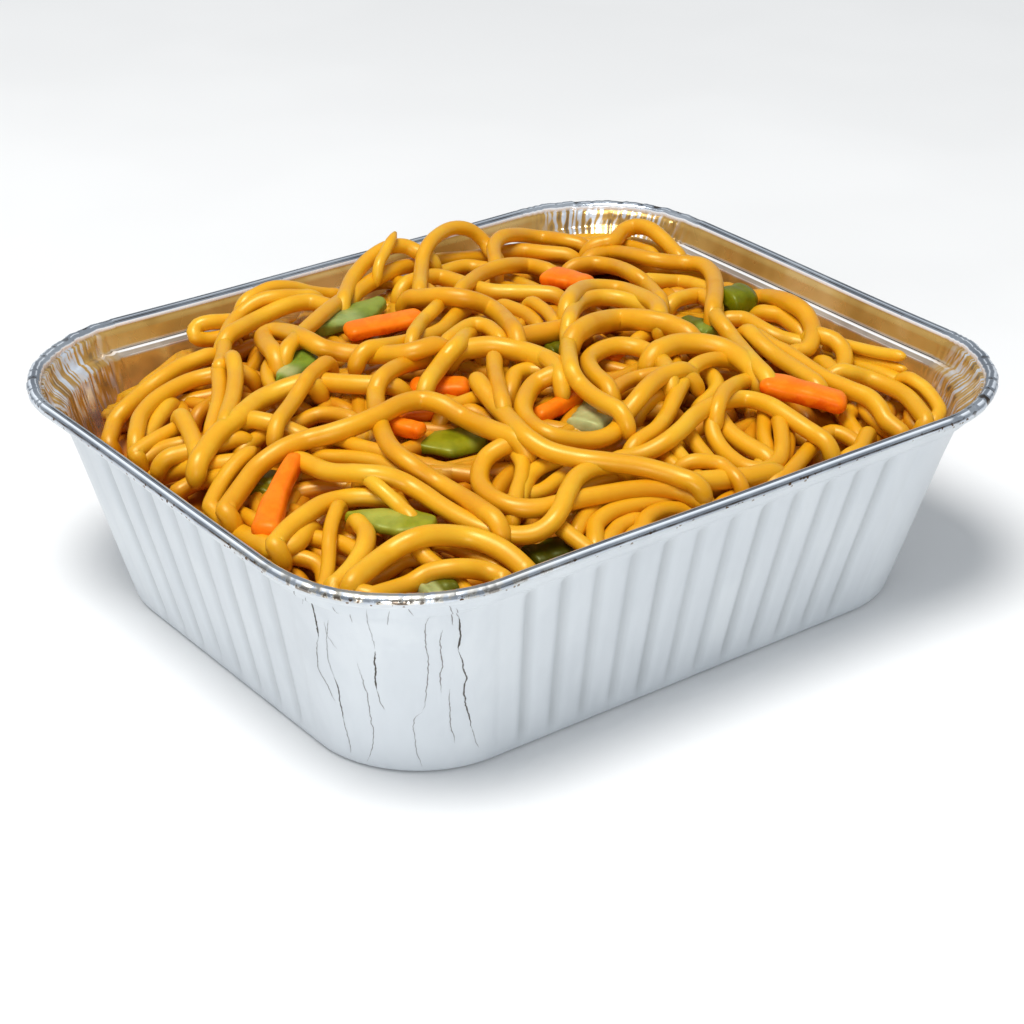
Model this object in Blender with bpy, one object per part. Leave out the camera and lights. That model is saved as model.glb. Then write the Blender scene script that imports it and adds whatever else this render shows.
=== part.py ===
"""Rolled-rim foil takeout tray heaped with noodles, carrot sticks and green beans.

One open tray, one fused heap of noodles and twenty loose vegetable pieces
bedded in it.  The tray stands on its floor at z = 0, centred on the origin,
its long side along X and its deep side up.  Lengths below are millimetres and
are scaled to metres when a mesh is made.
"""
import bpy
import bmesh
import math
import numpy as np

MM = 0.001

# ----------------------------------------------------------------- the tray
TRAY_LENGTH = 145.0        # over the rolled rim, along X
TRAY_WIDTH = 121.0         # over the rolled rim, along Y
TRAY_HEIGHT = 41.0
RIM_CORNER = 27.0          # corner radius of the rim outline
BEAD_RADIUS = 1.15         # the rolled edge
FOIL = 0.5                 # wall as it is drawn here
LEDGE_Z = 35.4             # where the fluted wall ends and the shelf starts
WALL_TOP_INSET = 5.2       # fluted wall inside the rim outline, at the shelf
FLOOR_INSET = 13.8         # and at the floor
BAND_FOOT_INSET = 3.3      # plain band between the shelf and the bead
BAND_TOP_INSET = 1.7
FLUTE_DEPTH = 0.55
FLUTES_LONG = 13
FLUTES_SHORT = 9
CORNER_STEPS = 6
FLOOR_CORNER = 19.6
WALL_CORNER = 22.5

# ----------------------------------------------------------------- the heap
EYE = (-245.5, -326.5, 226.0)   # every route below is laid out as seen from here
BACK_SHEET_Y = 50.0
RIGHT_SHEET_X = 58.0
GAP = 0.35                 # clear space kept round the loose pieces
NOODLE_SIDES = 5
NOODLE_TRIANGLES = 8000
GRID = 0.6                 # cell of the height map the strands rest on


for old in list(bpy.data.objects):
    bpy.data.objects.remove(old, do_unlink=True)


# ================================================================ tray walls
def corner_radius(inset):
    """Corner radius of the outline that lies this far inside the rim."""
    if inset <= WALL_TOP_INSET:
        t = inset / WALL_TOP_INSET
        return RIM_CORNER + (WALL_CORNER - RIM_CORNER) * t
    t = (inset - WALL_TOP_INSET) / (FLOOR_INSET - WALL_TOP_INSET)
    return WALL_CORNER + (FLOOR_CORNER - WALL_CORNER) * min(t, 1.3)


def outline(inset, flute=0.0):
    """Ring of (x, y) points; zigzag flutes push the straight runs in and out."""
    a = TRAY_LENGTH / 2 - inset
    b = TRAY_WIDTH / 2 - inset
    r = corner_radius(inset)
    points = []
    sides = (((-a + r, -b), (a - r, -b), (0, -1), FLUTES_LONG),
             ((a, -b + r), (a, b - r), (1, 0), FLUTES_SHORT),
             ((a - r, b), (-a + r, b), (0, 1), FLUTES_LONG),
             ((-a, b - r), (-a, -b + r), (-1, 0), FLUTES_SHORT))
    centres = ((a - r, -b + r), (a - r, b - r), (-a + r, b - r), (-a + r, -b + r))
    for k, ((x0, y0), (x1, y1), (nx, ny), count) in enumerate(sides):
        steps = 2 * count
        for i in range(steps + 1):
            t = i / steps
            push = flute if i % 2 else 0.0
            points.append((x0 + (x1 - x0) * t - nx * push,
                           y0 + (y1 - y0) * t - ny * push))
        cx, cy = centres[k]
        for i in range(1, CORNER_STEPS):
            ang = -math.pi / 2 + k * math.pi / 2 + math.pi / 2 * i / CORNER_STEPS
            points.append((cx + r * math.cos(ang), cy + r * math.sin(ang)))
    return points


def wall_inset(z):
    """Inside face of the tray at height z, measured in from the rim outline."""
    if z >= LEDGE_Z + 0.6:
        t = min((z - LEDGE_Z) / (TRAY_HEIGHT - BEAD_RADIUS - LEDGE_Z), 1.0)
        return BAND_FOOT_INSET + (BAND_TOP_INSET - BAND_FOOT_INSET) * t + FOIL + 0.15
    t = max(z, 0.0) / LEDGE_Z
    return FLOOR_INSET + (WALL_TOP_INSET - FLOOR_INSET) * min(t, 1.0) + FOIL + FLUTE_DEPTH


def mesh_object(name, points, faces):
    mesh = bpy.data.meshes.new(name)
    mesh.from_pydata([(x * MM, y * MM, z * MM) for x, y, z in points], [], faces)
    mesh.validate()
    obj = bpy.data.objects.new(name, mesh)
    bpy.context.scene.collection.objects.link(obj)
    bm = bmesh.new()
    bm.from_mesh(mesh)
    bmesh.ops.triangulate(bm, faces=[f for f in bm.faces if len(f.verts) > 4])
    bmesh.ops.recalc_face_normals(bm, faces=bm.faces)
    bm.to_mesh(mesh)
    bm.free()
    return obj


def build_tray():
    """Pressed shell: floor, fluted wall, shelf, plain band and rolled bead."""
    bead_z = TRAY_HEIGHT - BEAD_RADIUS
    band_top = bead_z - 0.7
    rings = []                                     # (inset, z, flute)
    rings.append((FLOOR_INSET + 1.0, 0.0, 0.0))
    rings.append((FLOOR_INSET, 0.5, 0.0))
    rings.append((FLOOR_INSET - 0.9, 4.0, FLUTE_DEPTH))
    rings.append((WALL_TOP_INSET + 0.5, LEDGE_Z - 1.5, FLUTE_DEPTH))
    rings.append((WALL_TOP_INSET, LEDGE_Z, 0.0))
    rings.append((BAND_FOOT_INSET, LEDGE_Z + 0.45, 0.0))
    rings.append((BAND_TOP_INSET + 0.1, band_top, 0.0))
    for deg in (-115, -40, 25, 90, 160):           # the bead, from below to inside
        ang = math.radians(deg)
        rings.append((BEAD_RADIUS - BEAD_RADIUS * math.cos(ang),
                      bead_z + BEAD_RADIUS * math.sin(ang), 0.0))
    rings.append((BAND_FOOT_INSET + FOIL, LEDGE_Z + 0.45 + FOIL, 0.0))
    rings.append((WALL_TOP_INSET + FOIL, LEDGE_Z + FOIL, 0.0))
    rings.append((WALL_TOP_INSET + 0.5 + FOIL, LEDGE_Z - 1.5, FLUTE_DEPTH))
    rings.append((FLOOR_INSET - 0.9 + FOIL, 4.0, FLUTE_DEPTH))
    rings.append((FLOOR_INSET + 1.0 + FOIL, FOIL, 0.0))
    points, faces = [], []
    count = len(outline(0.0))
    for inset, z, flute in rings:
        points += [(x, y, z) for x, y in outline(inset, flute)]
    for k in range(len(rings) - 1):
        for i in range(count):
            j = (i + 1) % count
            faces.append((k * count + i, k * count + j,
                          (k + 1) * count + j, (k + 1) * count + i))
    faces.append(tuple(reversed(range(count))))
    last = (len(rings) - 1) * count
    faces.append(tuple(range(last, last + count)))
    return mesh_object("tray", points, faces)


# ============================================================ heap surfaces
def sheet(x, y):
    """The smooth sheet the top routes are drawn on."""
    rx = np.minimum(np.abs(x) / 69.0, 1.1)
    ry = np.minimum(np.abs(y) / 58.0, 1.1)
    z = 34 + 9.5 * (1 - rx ** 2.4) * (1 - ry ** 2.4) + 0.03 * y
    return z - 9 * np.exp(-(((x + 62) / 14) ** 2 + ((y - 54) / 14) ** 2))


def crown(x, y):
    """The general level of the heap: the sheet, fuller towards the right."""
    return (sheet(x, y) + 1.8 * np.exp(-(((x - 60) / 12) ** 2 + ((y - 5) / 26) ** 2))
            - 0.6 * np.exp(-(((x - 15) / 30) ** 2 + ((y - 52) / 6) ** 2)))


def top(*route):
    return [(x, y, float(sheet(np.float64(x), np.float64(y)))) for x, y in route]


def back(*route):
    return [(x, BACK_SHEET_Y, z) for x, z in route]


def right(*route):
    return [(RIGHT_SHEET_X, y, z) for y, z in route]


# Strands of the heap: (level in the pile, radius, route).  Level 8 lies on top.
STRANDS = (
    (4, 1.8, top((-64, 27), (-60.5, 31.2), (-55.5, 34.8), (-49.5, 37.5), (-43.5, 38.8), (-38.5, 38.2))),
    (4, 1.7, top((-61, 23.5), (-57.5, 28), (-52.5, 31), (-46.5, 31.6), (-42, 29.6), (-39, 27))),
    (5, 2.2, top((-5.5, 6), (-1.6, 4.4), (1, 0.8), (2.6, -3), (3.2, -6.6))),
    (5, 2.2, top((0.6, 4.4), (6, 4), (10, 3.3), (14, 2.8))),
    (5, 1.8, top((-16.5, -24.6), (-20, -24.3), (-24, -25.2), (-27.3, -27.6), (-29.5, -31), (-29.7, -34.8),
                 (-28, -38), (-25, -40), (-21, -40.8), (-17, -41.4), (-13, -42.3), (-9, -43.2), (-5, -44.6),
                 (-1.8, -46.8), (0.5, -50.5))),
    (5, 1.6, top((35.4, -51), (34.8, -47), (33, -45), (29.6, -45.7), (25.5, -47.4), (21, -49.4), (16.5, -51.2))),
    (5, 1.6, top((16.5, -33.5), (14, -36.2), (12.2, -39.6), (11.6, -43.2), (12.4, -46.4), (15, -48.2),
                 (18.5, -47.6), (21.5, -45.4), (24, -42.5), (26, -39.8))),
    (5, 2.0, top((-1.5, -44.8), (2.5, -46), (6.5, -47.2), (11, -48.4), (15, -49))),
    (5, 2.0, top((-31.8, 13), (-29.2, 9.2), (-26.6, 6), (-24, 3.4))),
    (5, 1.8, top((-45.8, 10), (-44.4, 6.4), (-43.8, 3), (-43.2, -0.6))),
    (5, 1.8, right((-9.5, 33.4), (-4, 32.6), (1, 32.8), (5, 33), (8.4, 32))),
    (6, 2.0, top((-57, 8.6), (-52.5, 11.4), (-47.4, 13), (-42.4, 14.8), (-38, 15), (-34, 14.3))),
    (6, 1.8, top((-62, -21), (-58, -19.4), (-53, -18.6), (-50, -19), (-46.5, -21), (-43.5, -24))),
    (6, 1.85, top((-61, -41.6), (-57, -42.8), (-52.5, -43.6), (-48.5, -43.2), (-45, -44.3), (-42, -46.3),
                  (-40, -49), (-39.2, -52))),
    (6, 1.75, top((-13.5, 6.8), (-18, 7.6), (-22.5, 6.4), (-26.2, 3.2), (-29, -0.8), (-31.4, -5),
                  (-33.5, -9.5), (-34.9, -14), (-35.1, -19), (-34.8, -24), (-34.2, -28.5), (-33.3, -33),
                  (-32.6, -37.5))),
    (6, 2.2, top((14.5, 0.5), (19, 2.2), (24, 1.9), (28.4, 0), (31.4, -3.2), (32.2, -7.2))),
    (6, 1.8, top((6.4, -17.5), (7, -13.5), (9, -9.6), (12.7, -7.5), (16.8, -7.1), (19.7, -9.2),
                 (20.5, -13), (19.7, -17), (18, -20.4))),
    (6, 2.2, top((23, -12), (27.2, -11.4), (31, -12.6), (33.8, -15.4), (34.4, -19.2), (34, -23))),
    (6, 1.7, top((-18, 17), (-14, 15.2), (-9, 14.3), (-4.5, 15), (-1, 17.2), (3, 20), (6, 21.6))),
    (6, 1.8, back((-26.5, 36.6), (-20.5, 38), (-14.4, 39), (-9.4, 38.5), (-5.4, 36.6))),
    (6, 1.7, back((1, 37.8), (5.4, 39.4), (10, 40.3), (15, 40), (20, 39.6), (25, 38.7), (30, 37.9),
                  (35, 37.6), (40, 36.8), (45, 35.2), (50, 33.6))),
    (6, 1.7, top((38.4, 30.4), (41.8, 29.6), (44, 25.4), (43.6, 19.5), (41.6, 13.5), (39.2, 7.5))),
    (6, 1.7, right((-42, 31), (-37.6, 33.2), (-32, 33.4), (-27, 33), (-21.8, 32.2))),
    (6, 1.9, top((-62.5, -7.4), (-58, -4.8), (-53, -2), (-48, -1), (-44, -1.5), (-40, -3), (-35, -4),
                 (-30, -4), (-26, -3.6), (-22.6, -4.6), (-20.8, -8), (-20.5, -12), (-20, -16),
                 (-18.9, -19.5), (-17.4, -23))),
    (6, 1.75, top((-5, -36.4), (-1, -36.9), (4, -36.1), (9, -34.4), (13.5, -32.4), (18, -31.2),
                  (22, -31), (25.6, -32), (27.9, -34.8), (28.7, -38.6), (29.3, -42.3), (29.9, -45))),
    (7, 1.75, top((-50, -27), (-50.6, -29.6), (-53, -32.4), (-56.5, -34.8), (-60, -36.2), (-63, -36.6))),
    (7, 1.8, top((-47.3, -6.5), (-46, -12), (-43, -15.6), (-40.3, -18.8), (-38.8, -22.5), (-38.1, -27),
                 (-37.7, -31), (-36.8, -35.5), (-35.2, -39.6), (-32.6, -42.9), (-29.3, -44.3),
                 (-25.8, -43.8), (-22, -41.8), (-18.4, -39), (-15, -36.9), (-11.5, -36.2), (-8, -36.8))),
    (7, 1.6, top((0.8, -33.7), (5, -32.6), (9.3, -30.2), (13.5, -27), (17.5, -24), (21.5, -21.2),
                 (25.5, -19.2), (29.4, -18.8), (32, -20.8), (32.3, -24), (30.6, -26.8), (27, -27.4),
                 (23.5, -28.6), (20.6, -30.6))),
    (7, 1.85, top((1, -10.2), (-3.5, -11.2), (-7.5, -13.8), (-10.8, -17.2), (-12.3, -21), (-12, -25),
                  (-9.6, -28.6), (-5.6, -30.5), (-1.2, -29.9), (3, -27), (7.5, -24.4), (12, -21.9),
                  (16.5, -20), (20.5, -19.6))),
    (7, 1.9, top((-30.3, 29), (-28.8, 34), (-26.8, 37.8), (-24.4, 38.2), (-23.3, 34), (-23.4, 28.5),
                 (-23.6, 23), (-21.6, 17.8), (-18.2, 13.6), (-14.2, 11.2), (-9.5, 10.8))),
    (7, 1.8, top((-17.2, 0.4), (-13.8, 2.8), (-9.6, 5.8), (-5.2, 8.6), (-1.4, 11), (1.6, 12.6))),
    (7, 1.9, top((2.5, 32.2), (6.4, 29.6), (8.6, 25), (9, 20), (8.2, 15), (6.9, 10.6), (5.7, 7))),
    (7, 1.7, back((-14, 31), (-9.8, 33.6), (-5, 36), (0, 37.7), (5, 38.6), (9, 37.9), (13, 36.2), (16.5, 34.6))),
    (7, 1.8, back((13, 36.8), (16.5, 36.9), (20, 36.2), (24, 34.2), (28.4, 31.8), (33, 29.8), (38, 28.4),
                  (42.5, 27.2), (46.5, 26))),
    (7, 1.7, back((-1.7, 37.6), (0.6, 41.2), (4.2, 43.8), (8.4, 45), (12, 44.4), (15.2, 42.4))),
    (7, 1.6, back((15.4, 35.4), (15.8, 38.6), (16.6, 42), (19, 44.4), (23, 45.4), (27, 44.2), (30.2, 41.4), (32.4, 38.2))),
    (7, 1.6, back((33.4, 36), (33, 39.3), (35, 40.8), (39, 40.3), (43.5, 38.8), (48.4, 37.2), (53, 35.4))),
    (7, 1.8, right((13.9, 33), (13.6, 36), (14.4, 38.9), (17.4, 39.9), (22, 38.9), (27, 37.5), (33, 36.2),
                   (39, 35.2), (45, 33.6), (50, 31.4))),
    (7, 1.8, right((25.5, 40), (29, 41.4), (33, 42.3), (37.4, 41.5), (41.4, 39.2), (44, 36.4), (47.6, 34.6))),
    (7, 1.75, right((24.5, 30.4), (21.2, 32.2), (17.4, 33.6), (13.6, 33)) + top((43.6, -3), (41.2, -8),
                    (39, -13), (37.2, -17.5), (35.6, -22), (34.6, -26))),
    (7, 1.8, right((-9.5, 31.6), (-12.4, 33.4), (-13.4, 37), (-11.2, 39.7), (-7, 40.5), (-2, 39.8),
                   (2.6, 38.2), (6, 36.4))),
    (7, 1.75, right((1, 30.8), (-3, 30.3), (-7, 30.3), (-12, 29.6), (-17, 29), (-23, 29.2)) +
              top((48, -38.8), (46.6, -42.4), (45, -46), (45, -51))),
    (6, 1.7, right((3.2, 31), (0, 29.8), (-4.2, 28.8), (-9.5, 28.2), (-14, 27.6))),
    (7, 2.0, top((22.5, 13.2), (26.3, 16), (30.5, 16.8), (34.6, 14), (36, 9), (35.8, 4.5), (34, 1.5))),
    (8, 1.9, top((-59, -37.6), (-55.5, -36.7), (-51.5, -35.8), (-47.5, -35.3), (-44, -35.8), (-41, -37.7),
                 (-38, -40.6), (-36.2, -44), (-35.4, -47.5), (-35.2, -52))),
    (8, 1.85, top((-10.8, -3.8), (-12, -7.5), (-13.2, -11.5), (-14.2, -16), (-15, -20.5), (-15.4, -25),
                  (-14.6, -29.3), (-11.8, -33), (-8, -36), (-4.2, -38.9), (-1.2, -42), (1, -44.8))),
    (8, 1.75, top((2.8, -24.6), (2, -20.5), (2.4, -16), (4, -11.5), (6.8, -7), (10, -2.6), (13.2, 1.6),
                  (16.5, 5.4), (20.3, 9), (24.4, 11.6), (28.6, 12.2), (31.8, 9.8), (32.8, 5.5), (32.2, 1.5))),
    (8, 1.7, top((-51.5, 14.5), (-47.4, 19.5), (-43.8, 24.8), (-40.6, 30.4)) +
             back((-28.3, 32.5), (-27.2, 37), (-24, 40), (-19.8, 41.5), (-15, 41), (-10.4, 39.8))),
)

# Loose pieces bedded in the heap: name, one end, other end (on the sheet),
# breadth at each end, thickness, how far the top face stands off the sheet.
# Pieces lie under the upper strands unless they are named as lying on top.
PIECES = (
    ("carrot_1", top((-62.0, -18.4), (-47.2, -4.7)), 4.8, 2.7, 3.4, 2.0),
    ("carrot_2", top((31.4, -28.6), (41.6, -39.6)), 5.6, 5.2, 3.4, 3.6),
    ("carrot_3", top((-10.6, -20.4), (1.8, -17.7)), 2.8, 3.0, 2.8, -0.4),
    ("carrot_4", top((-31.0, -7.1), (-28.1, -13.3)), 3.2, 3.4, 2.6, 0.4),
    ("carrot_5", top((-28.8, -6.9), (-22.9, -9.9)), 2.4, 2.4, 2.0, -1.2),
    ("carrot_6", top((-21.7, 0.1), (-13.5, -6.0)), 5.4, 5.0, 2.8, -0.8),
    ("carrot_7", top((-17.1, 26.3), (-2.6, 22.9)), 4.8, 5.8, 2.6, 0.9),
    ("carrot_8", top((28.5, 28.0), (31.7, 17.9)), 6.6, 4.0, 2.8, 0.9),
    ("carrot_9", top((11.7, -11.0), (16.3, -11.4)), 2.6, 2.6, 2.2, -2.0),
    ("green_1", top((-20.2, 31.0), (-2.7, 35.9)), 6.2, 5.6, 2.0, 0.4),
    ("green_2", top((-36.7, 17.7), (-26.4, 23.4)), 4.2, 6.4, 2.0, 0.2),
    ("green_3", top((-33.0, -14.6), (-21.1, -21.1)), 6.0, 9.0, 2.2, -2.2),
    ("green_4", top((-6.3, -27.6), (2.0, -23.3)), 6.6, 7.4, 3.0, -0.5),
    ("green_5", top((5.0, -2.8), (10.1, -3.6)), 3.8, 3.6, 2.2, -1.2),
    ("green_6", top((36.2, -3.1), (35.9, -10.8)), 3.4, 3.6, 2.2, -0.6),
    ("green_7", right((11.6, 34.0), (3.4, 38.4)), 7.4, 6.0, 4.6, 3.2),
    ("green_8", top((-50.8, -24.0), (-41.1, -34.9)), 4.4, 8.6, 2.0, 1.0),
    ("green_9", top((-33.6, -48.6), (-25.4, -49.0)), 6.0, 6.0, 2.4, -1.4),
    ("green_10", top((-52.4, -46.9), (-46.6, -47.5)), 4.6, 4.6, 2.6, 0.5),
    ("green_11", top((-57.2, -8.7), (-52.1, -6.0)), 4.4, 4.4, 2.2, -1.4),
)
LYING_ON_TOP = ("carrot_1", "carrot_2", "green_7", "green_8", "green_10")
POINTED = ("green_1", "green_2", "green_3", "green_8")

STAND_OFF = {8: 0.6, 7: 0.0, 6: -0.9, 5: -1.9, 4: -2.8}


# =========================================================== laying the heap
def slide(point, z):
    """Move a route point along its line of sight to height z."""
    ex, ey, ez = EYE
    t = (z - ez) / (point[2] - ez)
    return np.array((ex + (point[0] - ex) * t, ey + (point[1] - ey) * t, z))


def keep_inside(p, margin):
    """Hold a point inside the tray wall with this much room round it."""
    inset = float(wall_inset(p[2] - margin)) + margin
    a, b = TRAY_LENGTH / 2 - inset, TRAY_WIDTH / 2 - inset
    r = max(corner_radius(min(inset, FLOOR_INSET)) - margin, 4.0)
    qx, qy = abs(p[0]), abs(p[1])
    if qx > a - r and qy > b - r:
        dx, dy = qx - (a - r), qy - (b - r)
        d = math.hypot(dx, dy)
        if d > r:
            qx, qy = a - r + dx * r / d, b - r + dy * r / d
    qx, qy = min(qx, a), min(qy, b)
    return np.array((math.copysign(qx, p[0]), math.copysign(qy, p[1]), p[2]))


def spline(points, step):
    """Even samples of a smooth curve through the points."""
    pts = [np.array(p, float) for p in points]
    pts = [2 * pts[0] - pts[1]] + pts + [2 * pts[-1] - pts[-2]]
    fine = []
    for i in range(1, len(pts) - 2):
        p0, p1, p2, p3 = pts[i - 1:i + 3]
        for t in np.linspace(0, 1, 12, endpoint=False):
            fine.append(0.5 * (2 * p1 + (p2 - p0) * t + (2 * p0 - 5 * p1 + 4 * p2 - p3) * t ** 2
                               + (3 * p1 - p0 - 3 * p2 + p3) * t ** 3))
    fine.append(pts[-2])
    fine = np.array(fine)
    run = np.concatenate(([0], np.cumsum(np.linalg.norm(np.diff(fine, axis=0), axis=1))))
    count = max(int(round(run[-1] / step)), 3)
    at = np.linspace(0, run[-1], count + 1)
    return np.stack([np.interp(at, run, fine[:, k]) for k in range(3)], axis=1)


def smooth_line(values, sigma):
    reach = int(3 * sigma) + 1
    kernel = np.exp(-0.5 * (np.arange(-reach, reach + 1) / sigma) ** 2)
    padded = np.pad(values, reach, mode="edge")
    return np.convolve(padded, kernel / kernel.sum(), mode="valid")


class HeightMap:
    """Upper surface of everything laid so far, on a square grid."""

    def __init__(self):
        self.xs = np.arange(-75.0, 75.1, GRID)
        self.ys = np.arange(-64.0, 64.1, GRID)
        gx, gy = np.meshgrid(self.xs, self.ys, indexing="ij")
        self.z = crown(gx, gy) - 6.0

    def cells(self, xy, reach):
        n = int(reach / GRID) + 1
        di, dj = np.meshgrid(range(-n, n + 1), range(-n, n + 1), indexing="ij")
        i0 = np.round((xy[:, 0] - self.xs[0]) / GRID).astype(int)
        j0 = np.round((xy[:, 1] - self.ys[0]) / GRID).astype(int)
        i = np.clip(i0[:, None] + di.ravel()[None, :], 0, len(self.xs) - 1)
        j = np.clip(j0[:, None] + dj.ravel()[None, :], 0, len(self.ys) - 1)
        d2 = (self.xs[i] - xy[:, 0:1]) ** 2 + (self.ys[j] - xy[:, 1:2]) ** 2
        return i, j, d2

    def contact(self, xy, radius):
        """Lowest centre height at which a strand clears what lies below."""
        i, j, d2 = self.cells(xy, radius)
        lift = np.sqrt(np.maximum(radius ** 2 - d2, 0.0))
        return np.where(d2 < radius ** 2, self.z[i, j] + lift, -99.0).max(axis=1)

    def add(self, path, radius):
        i, j, d2 = self.cells(path, radius)
        lift = path[:, 2:3] + np.sqrt(np.maximum(radius ** 2 - d2, 0.0))
        ok = d2 < radius ** 2
        np.maximum.at(self.z, (i[ok], j[ok]), lift[ok])


def lay(heights, level, radius, route):
    """Rest one strand on the pile and return its centre line."""
    samples = spline(route, 1.0)
    count = len(samples)
    z = samples[:, 2].copy()
    free = (np.abs(samples[:, 1] - BACK_SHEET_Y) < 0.01) | (np.abs(samples[:, 0] - RIGHT_SHEET_X) < 0.01)
    for _ in range(5):
        path = np.array([slide(samples[k], z[k]) for k in range(count)])
        rest = crown(path[:, 0], path[:, 1]) + STAND_OFF[level]
        rest = np.where(free, np.maximum(rest, samples[:, 2]), rest)
        bump = np.clip(heights.contact(path[:, :2], radius) - 0.35 - rest, 0.0, 3.0)
        wide = np.array([bump[max(k - 1, 0):k + 2].max() for k in range(count)])
        z = 0.5 * z + 0.5 * (rest + smooth_line(wide, 2.2))
    z = smooth_line(z, 1.6)
    ends = np.minimum(np.arange(count), np.arange(count)[::-1]) / 4.0
    z = z - 3.8 * (1 - np.clip(ends, 0, 1)) ** 2
    path = np.array([keep_inside(slide(samples[k], z[k]), radius * 1.1 + GAP) for k in range(count)])
    heights.add(path, radius)
    return path


def thin_out(path, radius):
    """Keep fewer rings: close together in bends, far apart on straight runs."""
    keep = [0]
    turn = 0.0
    for k in range(1, len(path) - 1):
        a, b = path[k] - path[k - 1], path[k + 1] - path[k]
        cosine = np.dot(a, b) / (np.linalg.norm(a) * np.linalg.norm(b) + 1e-9)
        turn += math.acos(max(-1.0, min(1.0, cosine)))
        if turn > 0.7 or k - keep[-1] >= 12:
            keep.append(k)
            turn = 0.0
    if len(path) - 1 - keep[-1] < 2 and len(keep) > 2:
        keep.pop()
    keep.append(len(path) - 1)
    return path[keep]


def tube(name, path, radius, sides):
    """Closed tube along the path, drawn in a little at both ends."""
    points, faces = [], []
    count = len(path)
    tangent = np.gradient(path, axis=0)
    tangent /= np.linalg.norm(tangent, axis=1)[:, None]
    side = np.cross(tangent[0], (0.0, 0.0, 1.0))
    for k in range(count):
        side = side - np.dot(side, tangent[k]) * tangent[k]
        side /= np.linalg.norm(side)
        up = np.cross(side, tangent[k])
        size = radius * (0.72 if k in (0, count - 1) else 1.0)
        for i in range(sides):
            ang = 2 * math.pi * (i + 0.5) / sides
            points.append(tuple(path[k] + size * (math.cos(ang) * side + math.sin(ang) * up)))
    for k in range(count - 1):
        for i in range(sides):
            j = (i + 1) % sides
            a, b = k * sides + i, k * sides + j
            c, d = (k + 1) * sides + j, (k + 1) * sides + i
            faces += [(a, b, c), (a, c, d)]
    faces.append(tuple(range(sides)))
    faces.append(tuple(range((count - 1) * sides, count * sides)))
    return mesh_object(name, points, faces)


def piece_frame(spec):
    """Centre line, breadth and thickness of one loose piece."""
    name, ends, broad_a, broad_b, thick, off = spec
    line = []
    for p in ends:
        z = max(float(crown(np.float64(p[0]), np.float64(p[1]))), p[2] if p[0] == RIGHT_SHEET_X else -99.0)
        q = slide(p, z + off - thick / 2)
        line.append(keep_inside(q, 0.6 + max(broad_a, broad_b) / 2))
    return name, line[0], line[1], broad_a, broad_b, thick


def stick(name, a, b, broad_a, broad_b, thick, grow=0.0):
    """Cut stick with softened edges; grow swells it to make room round it."""
    axis = b - a
    length = np.linalg.norm(axis)
    axis = axis / length
    side = np.cross(axis, (0.0, 0.0, 1.0))
    side /= np.linalg.norm(side)
    up = np.cross(side, axis)
    if name.replace("room_", "") in POINTED:
        lie = ((-0.5, 0.36), (-0.3, 0.84), (0.05, 1.04), (0.34, 0.84), (0.5, 0.36))
    else:
        lie = ((-0.5, 0.80), (-0.44, 1.0), (0.0, 1.04), (0.44, 1.0), (0.5, 0.80))
    section = [(math.cos(t), math.sin(t)) for t in
               [math.radians(d) for d in (12, 38, 62, 118, 142, 168, 192, 222, 318, 348)]]
    points, faces = [], []
    for along, scale in lie:
        t = along + 0.5
        broad = (broad_a + (broad_b - broad_a) * t) / 2 * scale + grow
        high = thick / 2 * scale + grow
        centre = a + axis * (length * t + math.copysign(grow, along) * (abs(along) > 0.2))
        for c, s in section:
            points.append(tuple(centre + side * (broad * c * 1.02) + up * (high * s * 1.12)))
    n = len(section)
    for k in range(len(lie) - 1):
        for i in range(n):
            j = (i + 1) % n
            faces += [(k * n + i, k * n + j, (k + 1) * n + j), (k * n + i, (k + 1) * n + j, (k + 1) * n + i)]
    faces.append(tuple(range(n)))
    faces.append(tuple(range((len(lie) - 1) * n, len(lie) * n)))
    return mesh_object(name, points, faces)


def piece_cover(heights, frame):
    """Let strands of the pile rest on a loose piece."""
    name, a, b, broad_a, broad_b, thick = frame
    for t in np.linspace(0, 1, 10):
        centre = a + (b - a) * t
        broad = (broad_a + (broad_b - broad_a) * t) / 2
        d2 = (heights.xs[:, None] - centre[0]) ** 2 + (heights.ys[None, :] - centre[1]) ** 2
        patch = d2 < broad ** 2
        heights.z[patch] = np.maximum(heights.z[patch], centre[2] + thick / 2 + GAP)


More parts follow.
